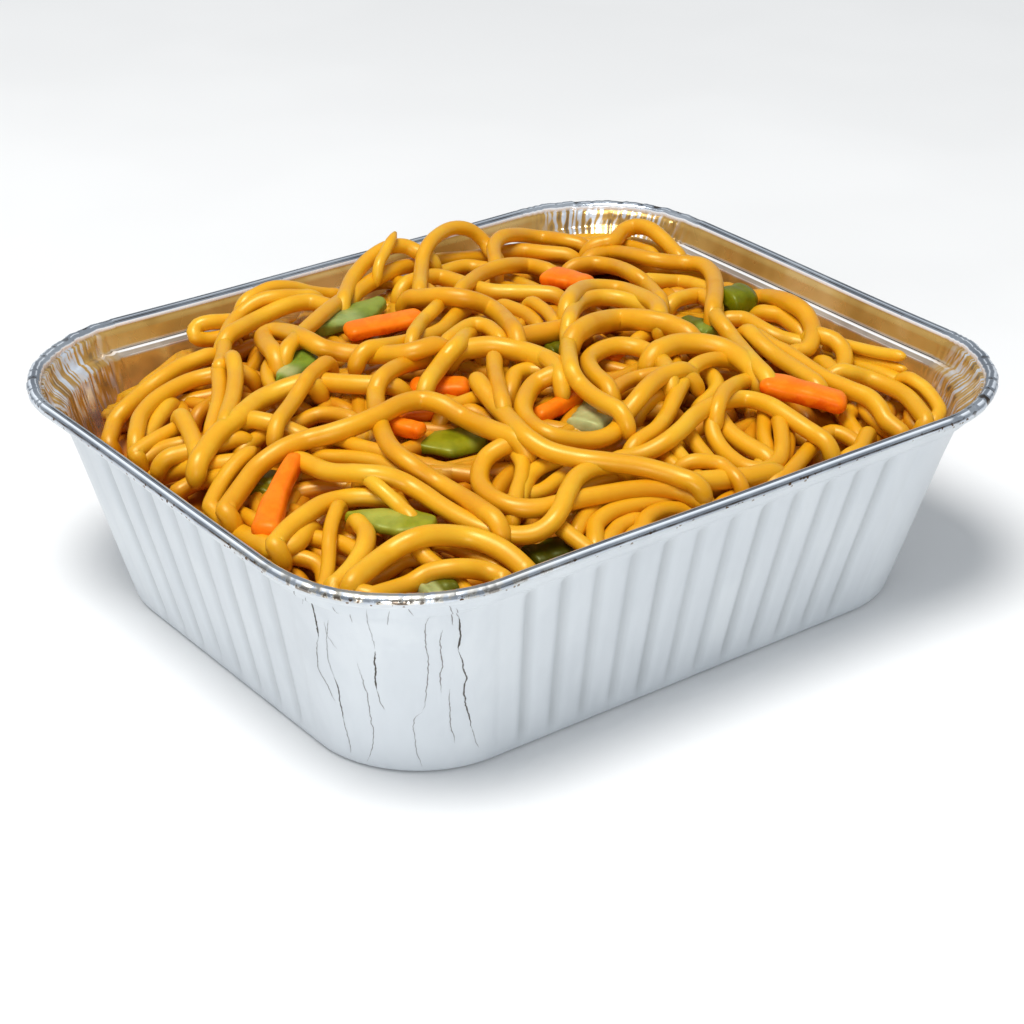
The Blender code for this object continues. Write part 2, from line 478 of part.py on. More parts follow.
def build_core():
    """Solid bed of the heap, kept clear of floor and wall."""
    around = 36
    shells = (1.0, 0.84, 0.62, 0.4, 0.18)
    points, faces = [], []

    def ring(inset, scale, height):
        a, b = TRAY_LENGTH / 2 - inset, TRAY_WIDTH / 2 - inset
        r = corner_radius(min(inset, FLOOR_INSET)) - 1.0
        row = []
        for i in range(around):
            ang = 2 * math.pi * i / around
            c, s = math.cos(ang), math.sin(ang)
            reach = 1e9
            if abs(c) > 1e-9:
                reach = min(reach, a / abs(c))
            if abs(s) > 1e-9:
                reach = min(reach, b / abs(s))
            x, y = abs(c) * reach, abs(s) * reach
            if x > a - r and y > b - r:            # rounded corner
                ux, uy = a - r, b - r
                k = ux * abs(c) + uy * abs(s)
                reach = k + math.sqrt(max(k * k - (ux * ux + uy * uy - r * r), 0.0))
            row.append((c * reach * scale, s * reach * scale, height))
        return row

    bed_drop = 3.3
    rim = ring(float(wall_inset(30.0)) + 1.6, 1.0, 0.0)
    rows = []
    floor_ring = ring(FLOOR_INSET + FOIL + 1.9, 1.0, FOIL + 0.4)
    rows.append(floor_ring)
    rows.append(ring(FLOOR_INSET + FOIL + 0.9, 1.0, 2.0))
    for scale in shells:
        row = []
        for x, y, _z in rim:
            px, py = x * scale, y * scale
            z = float(crown(np.float64(px), np.float64(py))) - bed_drop
            if scale == 1.0:
                z = min(z, 34.5)
            row.append((px, py, z))
        rows.append(row)
    for row in rows:
        points += row
    for k in range(len(rows) - 1):
        for i in range(around):
            j = (i + 1) % around
            faces += [(k * around + i, k * around + j, (k + 1) * around + j),
                      (k * around + i, (k + 1) * around + j, (k + 1) * around + i)]
    faces.append(tuple(range(around)))
    points.append((0.0, 0.0, float(crown(np.float64(0), np.float64(0))) - bed_drop))
    last = (len(rows) - 1) * around
    for i in range(around):
        faces.append((last + i, last + (i + 1) % around, len(points) - 1))
    return mesh_object("noodles", points, faces)


def apply_boolean(target, parts, operation, solver):
    """One Boolean of a whole collection against the target, then tidy up."""
    group = bpy.data.collections.new("pile")
    bpy.context.scene.collection.children.link(group)
    for obj in parts:
        bpy.context.scene.collection.objects.unlink(obj)
        group.objects.link(obj)
        obj.hide_render = True
        obj.display_type = "WIRE"
    mod = target.modifiers.new("pile", "BOOLEAN")
    mod.operand_type = "COLLECTION"
    mod.collection = group
    mod.operation = operation
    mod.solver = solver
    depsgraph = bpy.context.evaluated_depsgraph_get()
    mesh = bpy.data.meshes.new_from_object(target.evaluated_get(depsgraph))
    target.modifiers.remove(mod)
    target.data = mesh
    for obj in parts:
        bpy.data.objects.remove(obj, do_unlink=True)
    bpy.data.collections.remove(group)


def simplify(obj, wanted):
    """Collapse the smallest edges until about this many triangles are left."""
    count = sum(len(p.vertices) - 2 for p in obj.data.polygons)
    mod = obj.modifiers.new("fewer", "DECIMATE")
    mod.ratio = min(wanted / count, 1.0)
    mod.use_collapse_triangulate = True
    depsgraph = bpy.context.evaluated_depsgraph_get()
    mesh = bpy.data.meshes.new_from_object(obj.evaluated_get(depsgraph))
    obj.modifiers.remove(mod)
    obj.data = mesh


def signed_volume(faces):
    total = 0.0
    for face in faces:
        v = [vert.co for vert in face.verts]
        for i in range(1, len(v) - 1):
            total += v[0].dot(v[i].cross(v[i + 1])) / 6
    return total


def tidy(obj):
    """Weld hair cracks, drop scraps and sealed hollows, keep one body."""
    bm = bmesh.new()
    bm.from_mesh(obj.data)
    bmesh.ops.triangulate(bm, faces=bm.faces)
    for _ in range(6):
        pinched = [e for e in bm.edges if len(e.link_faces) > 2]
        if not pinched:
            break
        bmesh.ops.collapse(bm, edges=pinched)
        bmesh.ops.triangulate(bm, faces=bm.faces)
    bm.faces.ensure_lookup_table()
    seen, groups = set(), []
    for face in bm.faces:
        if face.index in seen:
            continue
        stack, group = [face], []
        seen.add(face.index)
        while stack:
            current = stack.pop()
            group.append(current)
            for edge in current.edges:
                for other in edge.link_faces:
                    if other.index not in seen:
                        seen.add(other.index)
                        stack.append(other)
        groups.append(group)
    groups.sort(key=signed_volume, reverse=True)
    bmesh.ops.delete(bm, geom=[f for g in groups[1:] for f in g], context="FACES")
    loose = [v for v in bm.verts if not v.link_faces]
    bmesh.ops.delete(bm, geom=loose, context="VERTS")
    bm.to_mesh(obj.data)
    bm.free()


def paint(obj, name, colour, roughness, metallic):
    """One Principled material for each kind of piece."""
    mat = bpy.data.materials.get(name)
    if mat is None:
        mat = bpy.data.materials.new(name)
        mat.use_nodes = True
        shader = mat.node_tree.nodes["Principled BSDF"]
        shader.inputs["Base Color"].default_value = (*colour, 1.0)
        shader.inputs["Roughness"].default_value = roughness
        shader.inputs["Metallic"].default_value = metallic
    obj.data.materials.clear()
    obj.data.materials.append(mat)


# ================================================================== assembly
tray = build_tray()
heap = HeightMap()
frames = [piece_frame(spec) for spec in PIECES]
low = [s for s in STRANDS if s[0] <= 5]
high = [s for s in STRANDS if s[0] > 5]
noodle_paths = [(lay(heap, *spec), spec[1]) for spec in low]
for frame in frames:
    if frame[0] not in LYING_ON_TOP:
        piece_cover(heap, frame)
noodle_paths += [(lay(heap, *spec), spec[1]) for spec in high]

noodles = build_core()
tubes = [tube("strand_%02d" % k, thin_out(path, radius), radius * (1.08 + 0.003 * (k % 5)), NOODLE_SIDES)
         for k, (path, radius) in enumerate(noodle_paths)]
apply_boolean(noodles, tubes, "UNION", "EXACT")
swollen = [stick("room_" + f[0], *f[1:], grow=GAP) for f in frames]
apply_boolean(noodles, swollen, "DIFFERENCE", "EXACT")
tidy(noodles)
simplify(noodles, NOODLE_TRIANGLES)
tidy(noodles)
pieces = [stick(*frame) for frame in frames]

paint(tray, "tray", (0.66, 0.70, 0.76), 0.34, 0.85)
paint(noodles, "noodles", (0.80, 0.38, 0.03), 0.32, 0.0)
for piece in pieces:
    if piece.name.startswith("carrot"):
        paint(piece, "carrot", (0.86, 0.17, 0.01), 0.35, 0.0)
    else:
        paint(piece, "green", (0.19, 0.20, 0.02), 0.35, 0.0)
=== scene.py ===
# %% [markdown]
# # A foil takeout tray heaped with noodles
#
# The object is an oblong foil tray with a rolled rim, filled with glossy egg
# noodles, carrot sticks and cut green beans.  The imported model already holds
# plain solids for all of it.  This lesson dresses them: a fine pressed shell for
# the tray, round noodles laid one by one in a pile, and softly cut vegetables.
# Every length is written in millimetres and scaled to metres when a mesh is made.

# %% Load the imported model
import bpy
import math
import numpy as np
from mathutils import Matrix, Vector


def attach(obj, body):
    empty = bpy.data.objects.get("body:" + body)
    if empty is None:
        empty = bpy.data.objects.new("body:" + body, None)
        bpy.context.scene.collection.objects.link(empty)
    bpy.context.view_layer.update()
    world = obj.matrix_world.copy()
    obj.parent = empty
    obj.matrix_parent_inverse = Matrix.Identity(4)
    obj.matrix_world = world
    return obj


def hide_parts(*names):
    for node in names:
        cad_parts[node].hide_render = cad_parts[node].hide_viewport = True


MM = 0.001
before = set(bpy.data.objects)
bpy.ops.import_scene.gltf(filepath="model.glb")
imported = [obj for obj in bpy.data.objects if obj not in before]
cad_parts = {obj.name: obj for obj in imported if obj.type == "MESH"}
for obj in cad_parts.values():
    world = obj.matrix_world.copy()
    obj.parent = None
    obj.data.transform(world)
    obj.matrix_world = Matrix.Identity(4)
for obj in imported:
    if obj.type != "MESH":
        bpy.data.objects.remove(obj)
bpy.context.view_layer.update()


# %% [markdown]
# ## Helpers for meshes
#
# A mesh is a list of points and a list of faces.  `make_piece` scales the
# points, links the object and shades it smooth.  `paint_points` stores a colour
# on each point: materials read it later, for instance to tell a deep noodle from
# one on top.  Nearly every piece here is a stack of rings, so `ring_faces` joins
# neighbouring rings with quads and `ring_caps` closes both ends.

# %% Mesh helpers
def make_piece(name, points, faces, materials, slots=None, node=None):
    mesh = bpy.data.meshes.new(name)
    mesh.from_pydata((np.asarray(points, float) * MM).tolist(), [], faces)
    for mat in materials:
        mesh.materials.append(mat)
    if slots is not None:
        mesh.polygons.foreach_set("material_index", np.asarray(slots, dtype=np.int32))
    mesh.polygons.foreach_set("use_smooth", [True] * len(mesh.polygons))
    mesh.update()
    obj = link_object(name, mesh)
    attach(obj, "root")
    if node:
        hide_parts(node)
    return obj


def paint_points(obj, name, colours):
    layer = obj.data.color_attributes.new(name, "FLOAT_COLOR", "POINT")
    layer.data.foreach_set("color", np.asarray(colours, np.float32).ravel())


def ring_faces(rings, around, start=0, turned=False):
    faces = []
    for k in range(rings - 1):
        for i in range(around):
            a, b = start + k * around + i, start + k * around + (i + 1) % around
            faces.append((a, a + around, b + around, b) if turned else (a, b, b + around, a + around))
    return faces


def ring_caps(rings, around, start=0, turned=False):
    first = tuple(range(start, start + around))
    last = tuple(range(start + (rings - 1) * around, start + rings * around))
    return [first, last[::-1]] if turned else [first[::-1], last]


def link_object(name, data):
    obj = bpy.data.objects.new(name, data)
    bpy.context.scene.collection.objects.link(obj)
    return obj


print("mesh helpers ready")


# %% [markdown]
# ## Camera
#
# A short telephoto lens about 47 cm away looks down on one corner of the tray.
# The camera stands at `EYE`; its three axes come from the direction it looks in
# and from the world's up.  The pile is laid out as seen from here, so the eye
# comes before the food.

# %% Camera
EYE = (-245.492, -326.478, 225.994)
LOOK = Vector((0.532475, 0.708698, -0.462836)).normalized()
LENS, SENSOR = 91.32, 36.0
CLIP_NEAR, CLIP_FAR = 0.02, 20.0


def make_camera():
    data = bpy.data.cameras.new("camera")
    data.lens, data.sensor_width = LENS, SENSOR
    data.clip_start, data.clip_end = CLIP_NEAR, CLIP_FAR
    cam = link_object("camera", data)
    right_axis = LOOK.cross(Vector((0, 0, 1))).normalized()
    up_axis = right_axis.cross(LOOK)
    turn = Matrix((right_axis, up_axis, -LOOK)).transposed().to_4x4()
    cam.matrix_world = Matrix.Translation(Vector(EYE) * MM) @ turn
    bpy.context.scene.camera = cam
    return cam


camera = make_camera()
print("camera at", [round(c, 3) for c in camera.location])

# %% [markdown]
# ## Shader groups
#
# A node group is a small tool with named sockets.  Each one below is an effect
# that more than one material needs: slow mottling, fine grain as a bump, small
# specks, a three-step colour ramp and fold lines.  They only hand out values,
# colours and normals; the shader itself stays in each material.

# %% Node group helpers
def new_group(name, inputs, outputs):
    tree = bpy.data.node_groups.new(name, "ShaderNodeTree")
    for kind, label, default in inputs:
        sock = tree.interface.new_socket(name=label, in_out="INPUT", socket_type="NodeSocket" + kind)
        sock.default_value = default
    for kind, label in outputs:
        tree.interface.new_socket(name=label, in_out="OUTPUT", socket_type="NodeSocket" + kind)
    return tree, tree.nodes.new("NodeGroupInput"), tree.nodes.new("NodeGroupOutput")


def feed(tree, sock, value):
    """Link a socket to a socket, or set it to a plain value."""
    if isinstance(value, bpy.types.NodeSocket):
        tree.links.new(value, sock)
    else:
        sock.default_value = value


def put(tree, kind, settings=None, **links):
    """Add a node, set its fields, and feed its inputs with sockets or numbers."""
    node = tree.nodes.new(kind)
    for key, value in (settings or {}).items():
        setattr(node, key, value)
    for label, value in links.items():
        feed(tree, node.inputs[label.replace("_", " ")], value)
    return node


def blend_colours(tree, factor, first, second, mode="MIX"):
    node = put(tree, "ShaderNodeMix", {"data_type": "RGBA", "blend_type": mode})
    for index, value in ((0, factor), (6, first), (7, second)):
        feed(tree, node.inputs[index], value)
    return node.outputs[2]


def span(tree, value, low, high, to_low=0.0, to_high=1.0):
    """Stretch a value from one range to another, clamped and eased."""
    node = put(tree, "ShaderNodeMapRange", {"interpolation_type": "SMOOTHSTEP"})
    for index, given in enumerate((value, low, high, to_low, to_high)):
        feed(tree, node.inputs[index], given)
    return node.outputs[0]


def maths(tree, operation, first, second):
    node = put(tree, "ShaderNodeMath", {"operation": operation})
    feed(tree, node.inputs[0], first)
    feed(tree, node.inputs[1], second)
    return node.outputs[0]


def times(tree, first, *others):
    for other in others:
        first = maths(tree, "MULTIPLY", first, other)
    return first


print("node helpers ready")

# %% [markdown]
# **Mottling** is slow noise in object space, stretched between two values: the
# uneven soak of sauce, or the satin patches of a coating.  **Grain** is fine
# noise turned into a bump, with a strength and a depth in metres.  **Specks** are
# the cells of a Voronoi texture whose random number is small, kept round and
# tiny.  **Three tones** picks a colour between a dark, a middle and a pale one.
# ** Edge lines** turns one value stored on the foil into painted shade on folds
# (near 0) and painted highlights on ridges (near 1): white, and less metallic.

# %% Mottling, grain, specks, tones and lines
STRETCH = ("Vector", "Stretch", (1.0, 1.0, 1.0))
NOISE_LOW, NOISE_HIGH = 0.34, 0.66   # most of the noise lies between these


def stretched_noise(tree, given, detail, roughness):
    place = put(tree, "ShaderNodeTexCoord")
    scaled = put(tree, "ShaderNodeVectorMath", {"operation": "MULTIPLY"})
    feed(tree, scaled.inputs[0], place.outputs["Object"])
    feed(tree, scaled.inputs[1], given.outputs["Stretch"])
    return put(tree, "ShaderNodeTexNoise", Vector=scaled.outputs[0], Scale=given.outputs["Scale"],
               Detail=detail, Roughness=roughness).outputs[0]


def group_mottling():
    inputs = (("Float", "Scale", 80.0), ("Float", "Low", 0.0), ("Float", "High", 1.0), STRETCH)
    tree, given, out = new_group("Mottling", inputs, (("Float", "Value"),))
    noise = stretched_noise(tree, given, 3.0, 0.55)
    value = span(tree, noise, NOISE_LOW, NOISE_HIGH, given.outputs["Low"], given.outputs["High"])
    feed(tree, out.inputs["Value"], value)
    return tree


def group_grain():
    inputs = (("Float", "Scale", 900.0), ("Float", "Strength", 0.3), ("Float", "Depth", 0.0001), STRETCH)
    tree, given, out = new_group("Grain", inputs, (("Vector", "Normal"),))
    bump = put(tree, "ShaderNodeBump", Height=stretched_noise(tree, given, 4.0, 0.6),
               Strength=given.outputs["Strength"], Distance=given.outputs["Depth"])
    feed(tree, out.inputs["Normal"], bump.outputs[0])
    return tree


def group_specks():
    inputs = (("Float", "Scale", 400.0), ("Float", "Share", 0.1), ("Float", "Size", 0.3))
    tree, given, out = new_group("Specks", inputs, (("Float", "Mask"),))
    place = put(tree, "ShaderNodeTexCoord")
    cells = put(tree, "ShaderNodeTexVoronoi", Vector=place.outputs["Object"], Scale=given.outputs["Scale"])
    random_value = put(tree, "ShaderNodeSeparateColor", Color=cells.outputs["Color"])
    chosen = maths(tree, "LESS_THAN", random_value.outputs[0], given.outputs["Share"])
    near = maths(tree, "LESS_THAN", cells.outputs["Distance"], given.outputs["Size"])
    feed(tree, out.inputs["Mask"], times(tree, chosen, near))
    return tree


def group_three_tones():
    inputs = (("Float", "Tone", 0.5), ("Color", "Dark", (0, 0, 0, 1)),
              ("Color", "Middle", (0.5, 0.5, 0.5, 1)), ("Color", "Pale", (1, 1, 1, 1)))
    tree, given, out = new_group("Three tones", inputs, (("Color", "Color"),))
    tone, dark, middle, pale = given.outputs[:4]
    low = blend_colours(tree, span(tree, tone, 0.0, 0.5), dark, middle)
    feed(tree, out.inputs["Color"], blend_colours(tree, span(tree, tone, 0.5, 1.0), low, pale))
    return tree


def group_edge_lines():
    inputs = (("Float", "Line", 0.5), ("Float", "Breakup", 1.0), ("Color", "Base", (0.6, 0.6, 0.6, 1)),
              ("Color", "Dark", (0.1, 0.1, 0.1, 1)), ("Color", "Bright", (0.9, 0.9, 0.9, 1)))
    tree, given, out = new_group("Edge lines", inputs, (("Color", "Color"), ("Float", "Metal")))
    line, breakup, base, dark, bright = given.outputs[:5]
    # painted shade along a fold, where the line value is low
    shaded = times(tree, span(tree, line, 0.38, 0.14), breakup)
    # painted highlight: a white strip along a ridge, made less metallic than the foil
    painted_highlight = span(tree, line, 0.64, 0.92)
    lined = blend_colours(tree, shaded, base, dark)
    feed(tree, out.inputs["Color"], blend_colours(tree, painted_highlight, lined, bright))
    feed(tree, out.inputs["Metal"], span(tree, painted_highlight, 0.0, 1.0, 1.0, 0.2))
    return tree


MOTTLING, GRAIN, SPECKS = group_mottling(), group_grain(), group_specks()
TONES, LINES = group_three_tones(), group_edge_lines()
print("groups:", [g.name for g in (MOTTLING, GRAIN, SPECKS, TONES, LINES)])

# %% [markdown]
# ## Helpers for materials
#
# `new_material` starts a tree with the Principled shader.  The next helpers drop
# a group into it and hand back its output: a mottled value, three tones picked
# by a value, specks, or fold lines.  `channels` splits a colour stored on the
# points into its three numbers.  `dress` feeds the shader its colour, roughness
# and grain; grain is scale, strength and depth in metres.

# %% Material helpers
def new_material(name, **sockets):
    mat = bpy.data.materials.new(name)
    mat.use_nodes = True
    shader = mat.node_tree.nodes["Principled BSDF"]
    for label, value in sockets.items():
        shader.inputs[label.replace("_", " ")].default_value = value
    return mat, mat.node_tree, shader


def use(tree, group, **links):
    return put(tree, "ShaderNodeGroup", {"node_tree": group}, **links).outputs


def mottle(tree, scale, low=0.0, high=1.0, stretch=(1.0, 1.0, 1.0)):
    return use(tree, MOTTLING, Scale=scale, Low=low, High=high, Stretch=stretch)[0]


def specks(tree, scale, share, size):
    return use(tree, SPECKS, Scale=scale, Share=share, Size=size)[0]


def tones(tree, tone, dark, middle, pale):
    return use(tree, TONES, Tone=tone, Dark=(*dark, 1), Middle=(*middle, 1), Pale=(*pale, 1))[0]


def lines(tree, line, breakup, base, dark, bright):
    return use(tree, LINES, Line=line, Breakup=breakup, Base=base, Dark=(*dark, 1), Bright=(*bright, 1))


def channels(tree, attribute):
    colour = put(tree, "ShaderNodeAttribute", {"attribute_name": attribute})
    return put(tree, "ShaderNodeSeparateColor", Color=colour.outputs["Color"]).outputs


def dress(tree, shader, colour, roughness, grain=None):
    feed(tree, shader.inputs["Base Color"], colour)
    feed(tree, shader.inputs["Roughness"], roughness)
    if grain:
        scale, strength, depth = grain
        bumps = use(tree, GRAIN, Scale=scale, Strength=strength, Depth=depth)
        feed(tree, shader.inputs["Normal"], bumps[0])


print("material helpers ready")

# %% [markdown]
# ## The tray: one outline, many insets
#
# A pressed tray is a stack of rounded rectangles.  Each is the rim outline
# pushed inward by an *inset*, with a corner radius that shrinks on the way down.
# `ring_at` returns one such ring, with an outward direction for every station,
# so that flutes and pleats can push the foil in and out.

# %% Tray measures
TRAY_LENGTH, TRAY_WIDTH, TRAY_HEIGHT = 145.0, 121.0, 41.0
RIM_CORNER, WALL_CORNER, FLOOR_CORNER = 27.0, 22.5, 19.6
BEAD_RADIUS = 1.15
LEDGE_Z = 35.4
WALL_TOP_INSET, FLOOR_INSET = 5.2, 13.8
BAND_FOOT_INSET, BAND_TOP_INSET = 3.3, 1.7
FLUTE_DEPTH, FLUTE_ROOM = 0.8, 0.62
FLUTES_LONG, FLUTES_SHORT = 13, 9
FLUTE_STEPS, CORNER_STATIONS = 10, 156


def wall_at(t):
    """Inset of the wall's outside, t running from the floor (0) to the ledge (1)."""
    return FLOOR_INSET + (WALL_TOP_INSET - FLOOR_INSET) * t


def corner_radius(inset):
    if inset <= WALL_TOP_INSET:
        return RIM_CORNER + (WALL_CORNER - RIM_CORNER) * inset / WALL_TOP_INSET
    t = (inset - WALL_TOP_INSET) / (FLOOR_INSET - WALL_TOP_INSET)
    return WALL_CORNER + (FLOOR_CORNER - WALL_CORNER) * min(t, 1.3)


def make_stations():
    """Rows of (side, place along the side 0 to 1, corner number or -1)."""
    rows = []
    for side, count in enumerate((FLUTES_LONG, FLUTES_SHORT, FLUTES_LONG, FLUTES_SHORT)):
        steps = count * FLUTE_STEPS
        rows += [(side, i / steps, -1) for i in range(steps + 1)]
        rows += [(side, i / CORNER_STATIONS, side) for i in range(1, CORNER_STATIONS)]
    return np.array(rows, float)


STATIONS = make_stations()
SIDE, ALONG, CORNER = STATIONS[:, 0].astype(int), STATIONS[:, 1], STATIONS[:, 2].astype(int)
ON_CORNER = CORNER >= 0
CORNER_BLEND = np.where(ON_CORNER, np.sin(np.pi * ALONG) ** 0.6, 0.0)
SPLIT_CORNER, SPLIT_BLEND, OTHER_BLEND, INNER_BLEND = 3, 0.85, 0.12, 0.8
CORNER_EASE = np.where(ON_CORNER, np.sin(np.pi * ALONG) ** 2, 0.0)
STRAIGHTEN = CORNER_EASE * np.where(CORNER == SPLIT_CORNER, SPLIT_BLEND, OTHER_BLEND)


def ring_at(inset):
    """Points (x, y) and outward directions of one ring."""
    xy, out = np.zeros((len(SIDE), 2)), np.zeros((len(SIDE), 2))
    r = corner_radius(float(np.mean(inset)))
    ang = -math.pi / 2 + ALONG * math.pi / 2
    nx, ny = np.where(ON_CORNER, np.cos(ang), 0.0), np.where(ON_CORNER, np.sin(ang), -1.0)
    for side in range(4):
        c, s = math.cos(side * math.pi / 2), math.sin(side * math.pi / 2)
        run, deep = (TRAY_LENGTH, TRAY_WIDTH) if side % 2 == 0 else (TRAY_WIDTH, TRAY_LENGTH)
        a, b = run / 2 - inset, deep / 2 - inset
        x = np.where(ON_CORNER, a - r + r * np.cos(ang), (-a + r) + (2 * a - 2 * r) * ALONG)
        y = np.where(ON_CORNER, -b + r + r * np.sin(ang), -b)
        mine = SIDE == side
        xy[mine] = np.stack((x * c - y * s, x * s + y * c), axis=1)[mine]
        out[mine] = np.stack((nx * c - ny * s, nx * s + ny * c), axis=1)[mine]
    return xy, out


print("stations round the tray:", len(SIDE))

# %% [markdown]
# ## Flutes and pleats
#
# The long and short walls are stiffened by upright flutes: broad raised ribs
# with soft grooves between them.  At the corners there is too much foil, so the
# shelf and the band gather into fine radial pleats, and the bead is crimped.
# Pleats are narrow creases at uneven places that wander a little as they climb.
# One seeded generator draws them, so that the tray is the same each time.

# %% Flute and pleat shapes
rng = np.random.default_rng(11)
FLUTE_COUNT = np.where(SIDE % 2 == 0, FLUTES_LONG, FLUTES_SHORT)
WIDTHS_A_SIDE = 16
FLUTE_WIDTH = rng.uniform(0.85, 1.15, (4, WIDTHS_A_SIDE))


def groove():
    """How far each station is pushed in by the grooves between flutes."""
    phase = ALONG * FLUTE_COUNT
    off = np.abs(phase - np.round(phase))
    k = np.round(phase).astype(int) % WIDTHS_A_SIDE
    deep = 0.5 + 0.5 * np.cos(np.pi * np.clip(off / 0.27, 0, 1))
    ends = np.clip(np.minimum(ALONG, 1 - ALONG) * FLUTE_COUNT * 1.6, 0, 1)
    return np.where(ON_CORNER, 0.0, deep * FLUTE_WIDTH[SIDE, k] * ends)


CREASE_COUNT, CREASE_WIDTH = 30, 0.0105
CREASES = [np.sort(rng.uniform(0.01, 0.99, CREASE_COUNT)) for _ in range(4)]
CREASE_SIZE = [rng.uniform(0.25, 1.0, CREASE_COUNT) * rng.choice((-0.6, 1.0), CREASE_COUNT)
               for _ in range(4)]
CREASE_LEAN = [rng.normal(0, 0.0030, CREASE_COUNT) for _ in range(4)]
CREASE_FOOT = [rng.uniform(-6, 3, CREASE_COUNT) for _ in range(4)]


def pleats(z):
    """Push of the gathered foil at height z, in units of the pleat depth."""
    push = np.zeros(len(SIDE))
    for c in range(4):
        here = CORNER == c
        u = ALONG[here]
        total = np.zeros(len(u))
        for at, size, lean, foot in zip(CREASES[c], CREASE_SIZE[c], CREASE_LEAN[c], CREASE_FOOT[c]):
            fade = 1.0 if z > LEDGE_Z else float(np.clip((z - LEDGE_Z - foot + 9) / 5, 0, 1))
            total += size * fade * np.exp(-((u - at - lean * (z - LEDGE_Z)) / CREASE_WIDTH) ** 2)
        push[here] = total * np.clip(np.minimum(u, 1 - u) * 12, 0.25, 1)
    return push


CRIMPS, STREAKS = 60, 500
CRIMP_DRAWS = rng.uniform(-1, 1, CRIMPS + 2)
CRIMP = np.where(ON_CORNER, np.interp(ALONG * CRIMPS, np.arange(CRIMPS + 2), CRIMP_DRAWS), 0.0)
STREAKS_A, STREAKS_B = rng.uniform(0, 1, STREAKS), rng.uniform(0, 1, STREAKS)


def pleat_light_streak(z):
    """Painted highlight and shade in fine streaks that run with the pleats, each fading in and out."""
    at = (ALONG + 0.0045 * (z - LEDGE_Z)) * 115 + SIDE * 122 + 6
    first = np.interp(at, np.arange(STREAKS), STREAKS_A)
    second = np.interp(at * 0.7, np.arange(STREAKS), STREAKS_B)
    share = 0.5 + 0.5 * math.sin(1.5 * z)
    return np.where(ON_CORNER, first * share + second * (1 - share), 0.5)


ROUND = np.arange(len(SIDE)) * 2 * np.pi / len(SIDE)
WAVE = 0.12 * np.sin(ROUND * 5 + 1.0) + 0.07 * np.sin(ROUND * 13)
print("creases a corner:", len(CREASES[0]))

# %% [markdown]
# ## The tray's profile
#
# From the floor's edge the shell climbs the fluted wall, steps out over the
# shelf, climbs the plain band, rolls over the bead, and comes back down inside.
# Each row is (inset, height, flutes, pleats, finish, line).  Finish 0 is the
# coated outside, 1 the rolled bead and 2 the bright inside.  Line paints shade on
# a fold (near 0) or a highlight on a ridge (near 1), and on the bead its dark and
# bright lines are painted reflections; 0.5 is plain.
#
# The outside of the split corner runs straight from the wall to the bead with
# hardly a step, so `smooth_out` bends those rows towards a straight line there,
# and a little at the other corners.  `smooth_in` lets the inner shelf fade into
# one slope at every corner.

# %% Profile rows
COAT, BEAD, BRIGHT = 0, 1, 2
BEAD_DEGREES = (-110, -22, 0, 22, 44, 66, 88, 110, 132, 154, 176, 200)
# line of each bead row: its dark and bright lines are painted reflections
BEAD_REFLECTION_LINES = (0.5, 0.5, 0.5, 0.10, 0.74, 0.90, 0.05, 0.85, 0.10, 0.95, 0.80, 0.5)
COAT_TO, BEAD_TO, BEAD_STEP = 10, 165, 22   # degrees round the bead
FLOOR_ROWS = ((40.0, 0.9), (24.0, 0.8), (FLOOR_INSET + 5.2, 0.7), (FLOOR_INSET + 4.2, 0.15),
              (FLOOR_INSET + 3.4, 0.0), (FLOOR_INSET + 1.2, 0.0), (FLOOR_INSET + 0.5, 0.12),
              (FLOOR_INSET + 0.1, 0.45))
# the line column paints shade into the step under the band
STEP_ROWS = (   # inset, height, pleats, line
    (WALL_TOP_INSET + 0.1, LEDGE_Z - 0.45, 0, 0.3), (WALL_TOP_INSET - 0.35, LEDGE_Z - 0.1, 0, 0.22),
    (WALL_TOP_INSET - 0.9, LEDGE_Z + 0.1, 0, 0.3), (BAND_FOOT_INSET + 0.25, LEDGE_Z + 0.35, 0, 0.5),
    (BAND_FOOT_INSET - 0.25, LEDGE_Z + 0.8, 0, 0.6), (BAND_FOOT_INSET - 0.5, LEDGE_Z + 1.5, 0.1, 0.6),
    (BAND_FOOT_INSET - 0.75, LEDGE_Z + 2.4, 0.1, 0.5), (BAND_TOP_INSET + 0.35, 38.5, 0.2, 0.45))
# the line column paints highlights on the shelf's ridges and shade in its folds
SHELF_ROWS = (   # inset, height, flutes, pleats, line
    (2.75, 39.4, 0, 0.5, 0.5), (3.0, 38.6, 0, 0.8, 0.5), (3.3, 37.8, 0, 1.0, 0.5), (3.6, 37.0, 0, 1.0, 0.5),
    (3.8, 36.5, 0, 1.0, 0.74), (4.0, 36.1, 0, 0.9, 0.12), (4.3, 36.05, 0, 0.8, 0.12),
    (4.45, 36.3, 0, 0.8, 0.95), (5.2, 36.3, 0, 0.8, 0.95), (5.35, 36.0, 0, 0.8, 0.3),
    (5.6, 35.85, 0, 0.9, 0.55), (5.85, 35.6, 0, 0.9, 0.78), (6.0, 35.1, 0.2, 1.0, 0.5),
    (6.15, 34.5, 0.5, 1.0, 0.5))
INNER_FLOOR_ROWS = ((FLOOR_INSET + 1.6, 1.4, 0.3), (FLOOR_INSET + 3.0, 1.2, 0), (24.0, 1.2, 0),
                    (40.0, 1.2, 0))
OUTER_RISE, INNER_RISE = 24, 14   # rows up the outside and down the inside of the wall
INNER_TOP, INNER_STEP, GAUGE = 34.5, 2.2, 0.65


